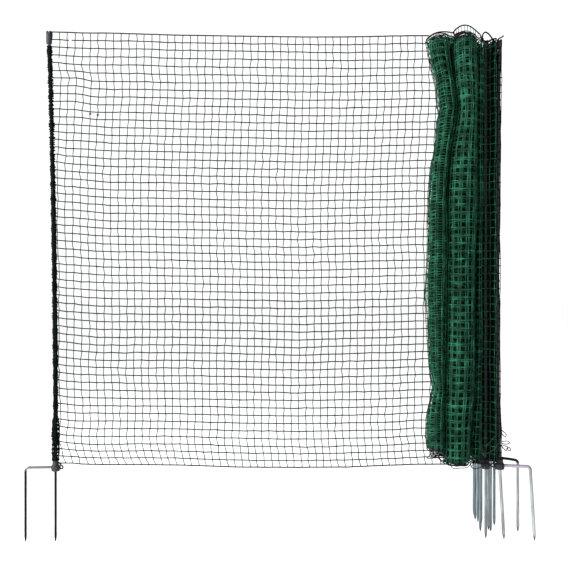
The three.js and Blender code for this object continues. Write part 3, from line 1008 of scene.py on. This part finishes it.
def roll_section(roll, row, depth, angle):
    """Place in plan on a roll's section, so deep under its skin."""
    left, right = roll["left"](row), roll["right"](row)
    half_x, half_y = (right - left) / 2, (roll["back"] - roll["front"]) / 2
    shrink_x = np.maximum(half_x - depth * half_x / min_half(roll), 1.0)
    shrink_y = np.maximum(half_y - depth, 1.0)
    power = 2 / roll["round"]
    c, s = np.cos(angle), np.sin(angle)
    x = (left + right) / 2 + shrink_x * np.sign(c) * np.abs(c) ** power
    y = (roll["front"] + roll["back"]) / 2 + shrink_y * np.sign(s) * np.abs(s) ** power
    return x, y


def min_half(roll):
    """Smaller half size of a roll at its middle row."""
    width = roll["right"](MIDDLE_ROW) - roll["left"](MIDDLE_ROW)
    return min(width / 2, (roll["back"] - roll["front"]) / 2)


def spiral_angle(turn):
    """The net comes in at the back left and goes round by the front."""
    return math.pi * 0.75 + 2 * math.pi * turn


def roll_columns(roll):
    """Turn of each half column along a roll's spiral."""
    turns = (min_half(roll) - 2.0 - roll["loose"]) / roll["gap"]
    fine = np.linspace(0, turns, int(turns * 240) + 2)
    x, y = roll_section(roll, MIDDLE_ROW, roll_depth(roll, fine), spiral_angle(fine))
    length = np.concatenate([[0], np.cumsum(np.hypot(np.diff(x), np.diff(y)))])
    count = max(8, int(length[-1] / (COLUMN_PITCH / 2)) // 2 * 2 + 1)
    return np.interp(np.linspace(0, length[-1], count), length, fine)


def roll_height(low, row):
    """Height of a row in a roll: its lowest rows are drawn together where the edge was lifted."""
    even = ROLL_LOWEST + row * ROW_PITCH
    return even + (low - ROLL_LOWEST) * np.exp(-row / ROWS_DRAWN)


def near_top(row):
    """How near a row is to the top edge, from 0 to 1."""
    return np.clip((row - TOP_ROW_START) / (ROWS - 1.0 - TOP_ROW_START), 0, 1)


def roll_grid(number, seed):
    """Crossings of a rolled stretch, with a place between each two uprights, and the turns."""
    roll = ROLLS[number]
    rng = np.random.default_rng(seed * 100 + number)
    turn = roll_columns(roll)
    angle = spiral_angle(turn)
    across = np.cos(angle)
    depth = roll_depth(roll, turn)
    wraps = int(turn[-1]) + 3
    knots = np.arange(wraps)
    rises = np.cumsum(rng.choice([-1, 1], wraps) * rng.uniform(3.5, 6, wraps))
    rise = np.interp(turn, knots, rises)
    rise -= rise[0]
    lean = np.interp(turn, knots, rng.normal(0, 2.0, wraps))
    waves = [
        (rng.uniform(0.05, 0.6), rng.uniform(0.5, 4.0), rng.uniform(0, 6.28), rng.uniform(0.3, 1.0))
        for _ in range(10)
    ]
    grid = np.zeros((ROWS, len(turn), 3))
    for r in range(ROWS):
        x, y = roll_section(roll, r, depth, angle)
        bulge = np.zeros_like(turn)
        for row_rate, turn_rate, phase, size in waves:
            bulge += size * np.sin(r * row_rate + turn * turn_rate * 6.28 + phase)
        crest = near_top(r) ** 2
        foot = np.clip((6 - r) / 6.0, 0, 1)
        deep = roll["inner"] * np.minimum(turn, 4)
        sag = roll["lift"] - roll["crown"] * across**2 - deep
        grid[r, :, 0] = x + across * bulge * 0.6
        grid[r, :, 1] = y + np.sin(angle) * bulge * 0.6
        middle = np.sin(min(r / 8.0, (ROWS - r) / 8.0, 1.0) * math.pi / 2)
        shift = (rise + lean * across) * middle + crest * sag + foot * deep * 0.3
        if r < ROWS - 1:
            shift = shift + roll.get("bunched", 0) * max(0.0, 1 - (ROWS - 2 - r) / 4.0)
        grid[r, :, 2] = roll_height(roll["low"], r) + shift
    return grid + rng.normal(0, 0.35, grid.shape), turn


def strip_grid(path, seed, low=163.0, lift=-6.0, post=None):
    """Crossing places of a stretch of net that follows a path in plan, with half columns."""
    rng = np.random.default_rng(seed)
    path = smooth_line([(x, y, 0) for x, y in path], 60)
    length = lengths_along(path)
    count = max(5, int(length[-1] / (COLUMN_PITCH / 2)) // 2 * 2 + 1)
    at = np.linspace(0, length[-1], count)
    phase = rng.uniform(0, 6.28, 4)
    grid = np.zeros((ROWS, count, 3))
    for r in range(ROWS):
        ripple = np.sin(r * 0.31 + at * 0.05 + phase[0]) + 0.7 * np.sin(r * 0.83 + phase[1])
        place = np.clip(at + 1.2 * np.sin(r * 0.5 + phase[2]), 0, length[-1])
        grid[r, :, 0] = np.interp(place, length, path[:, 0]) + 0.5 * ripple
        grid[r, :, 1] = np.interp(place, length, path[:, 1]) + 0.5 * ripple
        grid[r, :, 2] = roll_height(low, r) + lift * near_top(r)
        grid[r, :, 0] += bow(post, ROLL_LOWEST + r * ROW_PITCH)
    return grid + rng.normal(0, 0.3, grid.shape)


def winding_path(x, y, radius, turns):
    """Places in plan of net wound round a post, drawn a little wider at each turn."""
    angles = np.arange(0, turns * 2 * math.pi, 0.5)
    reach = radius + 0.16 * angles / math.pi
    return [(x - r * math.cos(a), y + r * math.sin(a)) for a, r in zip(angles, reach)]


def core_mesh(number, depth, seed):
    """Closed body of a roll's tight inner turns, a little lower than its net."""
    roll = ROLLS[number]
    rng = np.random.default_rng(seed + 50 * number)
    shape = bmesh.new()
    sides = 28
    angles = np.linspace(0, 2 * math.pi, sides, endpoint=False)
    rows = [0.6, 0.9] + list(np.arange(3, 54, 2.0)) + [54.8, 55.1]
    phases = rng.uniform(0, 6.28, 3)
    rings = []
    for i, row in enumerate(rows):
        end = 2.5 if i in (0, len(rows) - 1) else 0.0
        x, y = roll_section(roll, row, depth + end, angles)
        wave = np.sin(row * 0.4 + 3 * angles + phases[0])
        wave += np.sin(row * 0.9 - 5 * angles + phases[1])
        top = roll["lift"] + roll.get("full", 0) - 5.0
        z = roll_height(roll["low"], row) + top * (row / ROWS) ** 8
        z += roll.get("bunched", 0) * max(0.0, 1 - (ROWS - 2 - row) / 4.0)
        ring = [
            shape.verts.new(in_frame((x[k] + 0.5 * wave[k], y[k] + 0.5 * wave[k], z)))
            for k in range(sides)
        ]
        rings.append(ring)
    skin(shape, rings)
    for ring, way in ((rings[0], -1), (rings[-1], 1)):
        shape.faces.new(ring[::way])
    bmesh.ops.recalc_face_normals(shape, faces=shape.faces)
    return shape


def roll_lines(number, seed):
    """Strands of a roll: whole ones on the turns that show, and the edges of the inner turns."""
    roll = ROLLS[number]
    grid, turn = roll_grid(number, seed)
    shown = max(3, int(np.searchsorted(turn, roll["shown"])) | 1)
    cross = [in_frame(row[:shown]) for row in grid[1:-1]]
    upright = [in_frame(grid[:, k]) for k in range(0, shown, 2)]
    edges = (slice(0, 3), slice(ROWS - 3, ROWS))
    if shown < len(turn) - 3:
        cross += [in_frame(grid[r, shown - 1 :]) for r in (1, 2, ROWS - 3, ROWS - 2)]
        upright += [in_frame(grid[e, k]) for e in edges for k in range(shown + 1, len(turn), 2)]
    return cross, upright


def hanging_cells(arc, low, step, lower_row):
    """Uprights that hang from an arc of cord to the rows below, and one cross strand under it."""
    path = smooth_line(arc, 60)
    length = lengths_along(path)
    uprights = []
    for k, at in enumerate(np.arange(step * 0.6, length[-1], step)):
        top = np.array([np.interp(at, length, path[:, i]) for i in range(3)])
        bottom = np.array([top[0] + 1.5 * math.sin(k * 2.1), top[1] - 4.0, min(low, top[2] - 10)])
        uprights.append(in_frame([top, (top + bottom) / 2 + (0.8, 0, 0), bottom]))
    under = path[6:-6:3] - (0, 3.0, lower_row)
    return [in_frame(under)], uprights


# Operators


def settings():
    scene = bpy.context.scene
    return scene.netting_sizes, scene.netting_colours


def kept_material(name, make, *values):
    """A material by name, made the first time it is asked for."""
    if name in bpy.data.materials:
        return bpy.data.materials[name]
    return make(*values)


def materials():
    _, colours = settings()
    net = tuple(colours.net)
    spread = tuple(colours.spread_net)
    plastic = tuple(colours.plastic)
    zinc = tuple(colours.zinc)
    return {
        "net": kept_material("rolled_net_strand", net_material, "rolled_net_strand", net, 0.12),
        # Painted shade: the spread stretch's strands take the darker, greyer green.
        "spread": kept_material(
            "spread_net_strand", net_material, "spread_net_strand", spread, 0.15
        ),
        "core": kept_material("rolled_net_core_painted_shade", core_material, net),
        # Painted shade: the wound net is the spread net's green at a fifth, near black, for the
        # shade in the windings.
        "wrap": kept_material(
            "wound_net_strand", net_material, "wound_net_strand", shade(spread, 0.2), 0.04
        ),
        "cord": kept_material("border_cord_braid", cord_material, tuple(colours.cord)),
        "post": kept_material("post_plastic", plastic_material, "post_plastic", plastic, 0.38),
        "collar": kept_material(
            "collar_plastic", plastic_material, "collar_plastic", plastic, 0.45
        ),
        # Copies of one zinc: the first is its plain colour, the others carry painted light and
        # shade.
        "prongs": {
            name: kept_material(name, zinc_material, name, rod, shade(zinc, 0.15), bar)
            for name, rod, bar in (
                ("prong_zinc", shade(zinc, 1.05), zinc),
                # Painted shade and reflection: the end foot's rods are the zinc at three
                # hundredths, near black, under a grey step bar.
                ("end_prong_zinc", shade(zinc, 0.03), (0.17, 0.15, 0.16)),
                # Painted highlight and reflection: the front foot's rods are a lighter zinc, and
                # its step bar is a lilac white.
                ("front_prong_zinc", (0.31, 0.33, 0.34), (0.4, 0.36, 0.46)),
                # Painted light and shade: this foot's rods are a lighter zinc, and its step bar is
                # near black as a painted reflection.
                ("back_prong_zinc", (0.31, 0.33, 0.34), shade(zinc, 0.06)),
            )
        },
    }


class NETTING_OT_stage(bpy.types.Operator):
    """Sets the pale floor, the soft lights and the camera"""

    bl_idname = "netting.stage"
    bl_label = "Stage"

    def execute(self, context):
        _, colours = settings()
        bpy.ops.mesh.primitive_plane_add(size=60)
        floor = context.active_object
        floor.name = "floor"
        material, tree, shader = new_material("floor_paper")
        tone = tuple(colours.floor)
        place = object_place(tree)
        paper = ramp(tree, noise(tree, place, 0.6), [(0.3, shade(tone, 0.99)), (0.7, tone)])
        tree.links.new(paper, shader.inputs["Base Color"])
        shader.inputs["Roughness"].default_value = 0.9
        shader.inputs["Specular IOR Level"].default_value = 0.1
        shader.inputs["Emission Color"].default_value = (1.0, 1.0, 1.0, 1.0)
        shader.inputs["Emission Strength"].default_value = FLOOR_GLOW
        floor.data.materials.append(material)

        world = bpy.data.worlds.new("studio")
        context.scene.world = world
        world.use_nodes = True
        studio = world.node_tree
        sky = studio.nodes["Background"]
        sky.inputs["Color"].default_value = (1.0, 1.0, 1.0, 1.0)
        around = add_node(studio, "ShaderNodeTexCoord").outputs["Generated"]
        sideways = add_node(studio, "ShaderNodeSeparateXYZ")
        studio.links.new(around, sideways.inputs["Vector"])
        soft = add_node(studio, "ShaderNodeMapRange")
        soft.inputs["From Min"].default_value = -1.0
        soft.inputs["To Min"].default_value = SKY_LEFT
        soft.inputs["To Max"].default_value = SKY_RIGHT
        studio.links.new(sideways.outputs["X"], soft.inputs["Value"])
        seen = add_node(studio, "ShaderNodeLightPath")
        strength = add_node(studio, "ShaderNodeMix", data_type="FLOAT")
        studio.links.new(seen.outputs["Is Camera Ray"], strength.inputs["Factor"])
        studio.links.new(soft.outputs["Result"], strength.inputs["A"])
        strength.inputs["B"].default_value = SKY_SEEN
        studio.links.new(strength.outputs["Result"], sky.inputs["Strength"])

        for name, (place, size, power) in LAMPS.items():
            light = bpy.data.lights.new(name, "AREA")
            light.shape = "SQUARE"
            light.size = size
            light.energy = power
            lamp = bpy.data.objects.new(name, light)
            lamp.location = place
            aim = Vector(LAMP_AIM) - Vector(place)
            lamp.rotation_euler = aim.to_track_quat("-Z", "Y").to_euler()
            context.scene.collection.objects.link(lamp)

        lens = bpy.data.cameras.new("camera")
        lens.sensor_width = 36.0
        lens.lens = LENS
        lens.dof.use_dof = False
        camera = bpy.data.objects.new("camera", lens)
        camera.location = in_frame(CAMERA_PLACE)
        camera.rotation_euler = (math.radians(90), 0, 0)
        context.scene.collection.objects.link(camera)
        context.scene.camera = camera
        context.scene.view_settings.view_transform = "Standard"
        return {"FINISHED"}


class NETTING_OT_spread_net(bpy.types.Operator):
    """Strings the spread stretch between the end post and the first roll"""

    bl_idname = "netting.spread_net"
    bl_label = "Spread net"

    def execute(self, context):
        sizes, _ = settings()
        paint = materials()
        grid = panel_grid()
        rng = np.random.default_rng(sizes.seed)
        cross = []
        for r in range(1, ROWS - 1):
            x, z = grid[r, :, 0], grid[r, :, 2]
            left = end_post_side(r) - 3.0
            right = first_roll_side(r) + 4.0 if r > 2 else 333.0
            inside = (x > left + 3) & (x < right)
            fine_x = np.arange(left, right, COLUMN_PITCH / 3)
            fine_z = np.interp(fine_x, x, z)
            nudge = rng.normal(0, 0.35, inside.sum())
            fine_z = fine_z + np.interp(fine_x, x[inside], nudge)
            fine_z[0] += rng.uniform(-1.0, 2.5)
            depth = np.interp(fine_x, x[inside], rng.normal(0, 0.4, inside.sum()))
            line = np.stack([fine_x, depth, fine_z], 1)
            if r == BROKEN_ROW:
                cross.extend(in_frame(part) for part in parted(line, 0, BROKEN_ROW_GAP))
            else:
                cross.append(in_frame(line))
        upright = []
        for k in range(grid.shape[1]):
            column = grid[:, k]
            ends = [first_roll_side(r) + 3 if r > 2 else 334 for r in range(ROWS)]
            reach = [
                r for r in range(ROWS) if end_post_side(r) + 1.0 < column[r, 0] < ends[r]
            ]
            runs = np.split(reach, np.where(np.diff(reach) > 1)[0] + 1) if reach else []
            for run in runs:
                if len(run) < 2:
                    continue
                points = column[run]
                nudge = rng.normal(0, 0.55, len(points))
                at = np.arange(run[0], run[-1] + 0.01, 1 / 3)
                x = np.interp(at, run, points[:, 0] + nudge)
                z = np.interp(at, run, points[:, 2])
                x += 0.45 * np.sin(at * 3.1 + k * 1.7)
                y = 0.9 + np.interp(at, run, rng.normal(0, 0.3, len(points)))
                line = np.stack([x, y, z], 1)
                if k == 1:
                    upright.extend(in_frame(part) for part in parted(line, 2, BROKEN_UPRIGHT_GAP))
                else:
                    upright.append(in_frame(line))
        for x, z in FRAYED_PLACES:
            ring = [
                (x + 2.2 * math.cos(a), -1.2, z + 1.6 * math.sin(a))
                for a in np.linspace(0, 1.8 * math.pi, 12)
            ]
            upright.append(in_frame(ring))
        for name, lines, wide, kinks in (
            ("cross_strands", cross, sizes.cross_strand, sizes.kinks * 0.6),
            ("upright_strands", upright, sizes.upright_strand, sizes.kinks),
        ):
            piece = strands("spread_" + name, lines, paint["spread"], wide, 5, kinks, 0.012)
            finished(piece, "netting", "net_" + name)
        return {"FINISHED"}


class NETTING_OT_rolls(bpy.types.Operator):
    """Rolls up the rest of the net around the posts"""

    bl_idname = "netting.rolls"
    bl_label = "Rolled net"

    def execute(self, context):
        sizes, _ = settings()
        paint = materials()
        for number, roll in ROLLS.items():
            cross, upright = roll_lines(number, sizes.seed)
            if number == 1:
                for arc, low in (("first_roll_outer", 1014), ("first_roll_inner", 1008)):
                    more = hanging_cells(TOP_ARCS[arc], low, 6.0, 12.0)
                    cross += more[0]
                    upright += more[1]
            if number == 2:
                more = hanging_cells(TOP_ARCS["first_fold_back"], 1012, 6.5, 12.5)
                cross += more[0]
                upright += more[1]
            # Strands in painted shade: the folded passes behind the first one and the turns round
            # the posts take the near-black wound net.
            dark = []
            if number == 8:
                for k, path in enumerate(LAST_PASSES):
                    grid = strip_grid(path, sizes.seed + k)
                    pass_cross, pass_upright = (cross, upright) if k == 0 else (dark, dark)
                    pass_cross += [in_frame(row) for row in grid[1:-1]]
                    pass_upright += [in_frame(grid[:, c]) for c in range(0, grid.shape[1], 2)]
                for k, turns in POST_TURNS.items():
                    grid = strip_grid(winding_path(*turns), sizes.seed + 10 + k, post=k)
                    dark += [in_frame(row) for row in grid[1:-1]]
                    dark += [in_frame(grid[:, c]) for c in range(0, grid.shape[1], 2)]
                upright += [in_frame(smooth_line(stray, 24)) for stray in STRAY_STRANDS]
            name = f"roll_{number}"
            kinks = sizes.kinks
            parts = []
            for run, lines, wide in (
                ("_cross", cross, sizes.cross_strand * TIGHT),
                ("_upright", upright, sizes.upright_strand * TIGHT),
            ):
                parts.append(
                    strands(name + run, lines, paint["net"], wide, 4, kinks, 0.02, 0.12, number)
                )
            core = core_mesh(number, roll_depth(roll, roll["shown"]), sizes.seed)
            # The core is painted shade: near-black wound net in the last stretch, the darkened core
            # in the others.
            core_paint = paint["wrap" if number == 8 else "core"]
            parts.append(to_object(name + "_core", core, core_paint))
            if dark:
                wide = sizes.upright_strand
                parts.append(strands(name + "_dark", dark, paint["wrap"], wide, 4, kinks, 0.02))
            finished(joined(name, parts), "netting", f"rolled_net_{number}")
        return {"FINISHED"}


class NETTING_OT_cords(bpy.types.Operator):
    """Runs the border cords along the net's two edges"""

    bl_idname = "netting.cords"
    bl_label = "Border cords"

    def execute(self, context):
        sizes, _ = settings()
        paint = materials()
        grid = panel_grid()
        edges = {"bottom": 0, "top": ROWS - 1}
        loose = {"bottom": BOTTOM_LOOPS + RIGHT_CURLS, "top": list(TOP_ARCS.values())}
        for edge, r in edges.items():
            x, z = grid[r, :, 0], grid[r, :, 2]
            left = end_post_side(r) - 3.0
            right = 335.0 if r == 0 else first_roll_side(55) + 3
            fine_x = np.arange(left, right, 5.0)
            fine_z = np.interp(fine_x, x, z)
            line = np.stack([fine_x, 0 * fine_x, fine_z], 1)
            piece = strands(
                edge + "_border_cord",
                [in_frame(line)],
                paint["cord"],
                sizes.border_cord,
                8,
                0.0002,
                0.02,
                0.05,
            )
            finished(piece, "border_cord", edge + "_cord")
            lines = [in_frame(roll_grid(number, sizes.seed)[0][r]) for number in ROLLS]
            for k, path in enumerate(LAST_PASSES):
                lines.append(in_frame(strip_grid(path, sizes.seed + k)[r]))
            for k, turns in POST_TURNS.items():
                lines.append(in_frame(strip_grid(winding_path(*turns), sizes.seed + k, post=k)[r]))
            slack = {"bottom": (0.7, 0.7), "top": (0.85, 1.15)}[edge]
            wide = sizes.border_cord * slack[0]
            wound = strands(edge + "_wound", lines, paint["cord"], wide, 6, 0.0005, 0.02, 0.1)
            lines = [in_frame(smooth_line(path, 40)) for path in loose[edge]]
            wide = sizes.border_cord * slack[1]
            loops = strands(edge + "_loops", lines, paint["cord"], wide, 6, 0.0004, 0.02, 0.1)
            finished(joined(edge + "_roll_cords", [wound, loops]), "border_cord")
        return {"FINISHED"}


class NETTING_OT_end_winding(bpy.types.Operator):
    """Winds the net's end round the end post"""

    bl_idname = "netting.end_winding"
    bl_label = "End winding"

    def execute(self, context):
        sizes, _ = settings()
        paint = materials()
        rng = np.random.default_rng(sizes.seed + 3)
        lines = []
        low, high = COLLAR_TOP + 1.0, HEAD_BOTTOM - 1.0

        def around(z, angle, radius):
            return (end_post_x(z) + radius * math.cos(angle), radius * math.sin(angle), z)

        def girth(z):
            return 4.1 + 2.8 * np.clip((255 - z) / 20.0, 0, 1) + 0.6 * math.sin(z * 0.21)

        for layer in range(4):
            for r in range(ROWS):
                z = NET_LOWEST + r * ROW_PITCH + (-4.2, -0.4, 3.6, 7.6)[layer] + rng.normal(0, 1.0)
                if not low + 2 < z < high - 2:
                    continue
                start = rng.uniform(0, 6.28)
                reach = girth(z) + 0.25 * layer + rng.uniform(-0.2, 0.7)
                tilt = rng.normal(0, 0.8)
                ring = [
                    around(z + tilt * math.cos(a), start + a, reach)
                    for a in np.linspace(0, 2 * math.pi * 0.985, 13)
                ]
                lines.append(in_frame(ring))
        for k in range(9):
            z = np.arange(low, high, 7.8)
            drift = np.cumsum(rng.normal(0, 0.12, len(z)))
            ring = [
                around(h, k * 0.7 + d, girth(h) - 0.2 + rng.uniform(-0.2, 0.3))
                for h, d in zip(z, drift)
            ]
            lines.append(in_frame(ring))
        # The winding's strands are in painted shade: the near-black wound net.
        piece = strands(
            "end_post_wrap", lines, paint["wrap"], sizes.cross_strand, 5, 0.0003, 0.01, 0.2
        )
        finished(piece, "netting", "end_winding")
        return {"FINISHED"}


class NETTING_OT_prongs(bpy.types.Operator):
    """Bends and welds the double ground prongs"""

    bl_idname = "netting.prongs"
    bl_label = "Ground prongs"

    def execute(self, context):
        paint = materials()
        for i, post in enumerate(POSTS):
            turn = math.radians(post["bar"])
            lean_x = post["skew"] * math.cos(turn)
            lean_y = -post["skew"] * math.sin(turn)

            def at(x, z):
                share = (PRONG_LENGTH - z) / PRONG_LENGTH
                return (x + lean_x * share, lean_y * share, z)

            def bar(x):
                return PRONG_LENGTH + post.get("tilt", 0) * (1 - x / PRONG_SPACING)

            rod = OUTER_ROD_RADII.get(i, ROD_RADIUS)
            tip = [(0.0, 0.6), (2.5, 1.4), (6.0, 2.15), (9.0, rod - 0.2), (13.0, rod)]
            under = [at(0, z) for z, _ in tip] + [at(0, z) for z in np.linspace(25, 151, 8)]
            under.append((0, 0, POST_BOTTOM - 0.6))
            radii = [r for _, r in tip] + [rod] * (len(under) - len(tip))
            shape = sweep(under, radii, 16)
            side = [at(PRONG_SPACING, z) for z, _ in tip]
            side += [at(PRONG_SPACING, z) for z in np.linspace(25, PRONG_LENGTH - BEND_RADIUS, 8)]
            for a in np.linspace(0, math.pi / 2, 9)[1:]:
                x = PRONG_SPACING - BEND_RADIUS * (1 - math.cos(a))
                side.append((x, 0, PRONG_LENGTH - BEND_RADIUS + BEND_RADIUS * math.sin(a)))
            side += [(x, 0, bar(x)) for x in np.linspace(46, 1.5, 8)]
            radii = [r for _, r in tip] + [rod] * (len(side) - len(tip))
            merge(shape, sweep(side, radii, 16))
            weld = [(1.2, 0, 151), (2.2, 0, 151), (3.2, 0, 151), (4.4, 0, 151)]
            merge(shape, sweep(weld, [2.7, 3.3, 3.1, 2.55], 16))
            shape.transform(Matrix.Rotation(turn, 4, "Z"))
            for vert in shape.verts:
                vert.co.x += bow(i, 165.0) * max(0.0, vert.co.z - 10) / 155
            matrix = post_matrix(post)
            # Feet whose zinc carries painted light: the end foot in painted shade, the front one in
            # painted highlight, the back one in both.
            painted_light_zinc_by_post = {0: "end_prong_zinc", 1: "front_prong_zinc", 4: "back_prong_zinc"}
            paint_name = painted_light_zinc_by_post.get(i, "prong_zinc")
            piece = to_object(f"ground_prong_{i + 1}", shape, paint["prongs"][paint_name], matrix)
            finished(piece, "prong_steel", f"foot_{i + 1}")
        return {"FINISHED"}


class NETTING_OT_collars(bpy.types.Operator):
    """Moulds the collars at the foot of the posts"""

    bl_idname = "netting.collars"
    bl_label = "Collars"

    def execute(self, context):
        paint = materials()
        profile = [
            (2.8, 143.2), (7.2, 143.0), (8.4, 143.7), (8.8, 145.6), (8.9, 148.0), (8.9, 153.0),
            (8.5, 154.6), (7.3, 155.6), (6.4, 157.2), (6.0, 163.0), (5.6, 163.9), (3.6, 164.0),
            (3.55, 155.0), (2.8, 155.0),
        ]
        for i, post in enumerate(POSTS):
            name = f"post_collar_{i + 1}"
            piece = to_object(name, lathe(profile, 32), paint["collar"])
            slot = bmesh.new()
            bmesh.ops.create_cube(slot, size=1.0)
            slot.transform(
                Matrix.Translation((8.5, 0, 143.9)) @ Matrix.Diagonal((17.0, 5.6, 20.0, 1.0))
            )
            cut(piece, to_object("slot_cutter", slot, paint["collar"]))
            ring_path = [
                (11.7 + 3.2 * math.cos(a), 0, 151 + 3.2 * math.sin(a))
                for a in np.linspace(0, 2 * math.pi, 25)[:-1]
            ]
            turned_ring = closed_ring(ring_path, 1.7, 12)
            lug = [(4.5, 0, 161.5), (8.5, 0, 159), (11.5, 0, 156)]
            merge(turned_ring, sweep(lug, [1.6, 2.0, 1.7], 12))
            turned_ring.transform(Matrix.Rotation(math.radians(post["ring"]), 4, "Z"))
            cut(piece, to_object("ring", turned_ring, paint["collar"]), "UNION")
            soften(piece, 0.35)
            turn = Matrix.Rotation(math.radians(post["bar"]), 4, "Z")
            wide = Matrix.Diagonal((1.15, 1.15, 1.0, 1.0)) if i == 1 else Matrix.Identity(4)
            aside = Matrix.Translation((bow(i, 155.0), 0, 0))
            moved_into_place(piece, post_matrix(post) @ aside @ turn @ wide)
            finished(piece, "collar_plastic", f"collar_{i + 1}")
        return {"FINISHED"}


class NETTING_OT_posts(bpy.types.Operator):
    """Sets the posts and their slotted heads"""

    bl_idname = "netting.posts"
    bl_label = "Posts and heads"

    def execute(self, context):
        paint = materials()
        for i, post in enumerate(POSTS):
            matrix = post_matrix(post)
            r = POST_RADIUS
            profile = [(0, POST_BOTTOM), (r - 0.5, POST_BOTTOM), (r, POST_BOTTOM + 0.5)]
            profile += [(r, z) for z in np.linspace(170, 1000, 20)]
            profile += [(r, POST_TOP - 0.5), (r - 0.5, POST_TOP), (0, POST_TOP)]
            rod = lathe(profile, 24)
            for vert in rod.verts:
                vert.co.x += bow(i, vert.co.z)
            piece = to_object(f"post_rod_{i + 1}", rod, paint["post"], matrix)
            finished(piece, "post_plastic", f"post_{i + 1}")
            top = END_HEAD_TOP if i == 0 else INNER_HEAD_TOP
            h = HEAD_RADIUS + (0.8 if i == 0 else 0.0)
            profile = [
                (0, 1019.6), (3.5, 1019.6), (3.55, 1010.6), (3.9, HEAD_BOTTOM),
                (h - 0.7, HEAD_BOTTOM), (h, HEAD_BOTTOM + 0.8), (h, 1013.0), (h - 0.35, 1013.5),
                (h - 0.35, 1014.3), (h, 1014.8), (h, top - 1.6), (h - 0.5, top - 0.5),
                (h - 1.6, top), (0, top),
            ]
            name = f"post_head_{i + 1}"
            piece = to_object(name, lathe(profile, 28), paint["post"])
            slot = bmesh.new()
            bmesh.ops.create_cube(slot, size=1.0)
            slot_size = Matrix.Diagonal((3.0, 14.0, 10.0, 1.0))
            slot.transform(Matrix.Translation((0, 0, top)) @ slot_size)
            cut(piece, to_object("slot_cutter", slot, paint["post"]))
            soften(piece, 0.3)
            moved_into_place(piece, matrix)
            finished(piece, "post_plastic", f"head_{i + 1}")
        return {"FINISHED"}


class NETTING_PT_panel(bpy.types.Panel):
    """Lists the netting's sizes, colours and steps"""

    bl_idname = "NETTING_PT_panel"
    bl_label = "Dog Fence Netting"
    bl_space_type = "VIEW_3D"
    bl_region_type = "UI"
    bl_category = "Netting"

    def draw(self, context):
        layout = self.layout
        for group in (context.scene.netting_sizes, context.scene.netting_colours):
            box = layout.box()
            for key in group.__annotations__:
                box.prop(group, key)
        column = layout.column()
        for step in STEPS:
            column.operator(step.bl_idname)


STEPS = (
    NETTING_OT_stage,
    NETTING_OT_spread_net,
    NETTING_OT_rolls,
    NETTING_OT_cords,
    NETTING_OT_end_winding,
    NETTING_OT_prongs,
    NETTING_OT_collars,
    NETTING_OT_posts,
)
CLASSES = (NettingSizes, NettingColours, *STEPS, NETTING_PT_panel)


def register():
    for cls in CLASSES:
        bpy.utils.register_class(cls)
    bpy.types.Scene.netting_sizes = PointerProperty(type=NettingSizes)
    bpy.types.Scene.netting_colours = PointerProperty(type=NettingColours)


def unregister():
    del bpy.types.Scene.netting_colours
    del bpy.types.Scene.netting_sizes
    for cls in reversed(CLASSES):
        bpy.utils.unregister_class(cls)


def main():
    register()
    for step in STEPS:
        group, name = step.bl_idname.split(".")
        getattr(getattr(bpy.ops, group), name)()


if __name__ == "__main__":
    main()
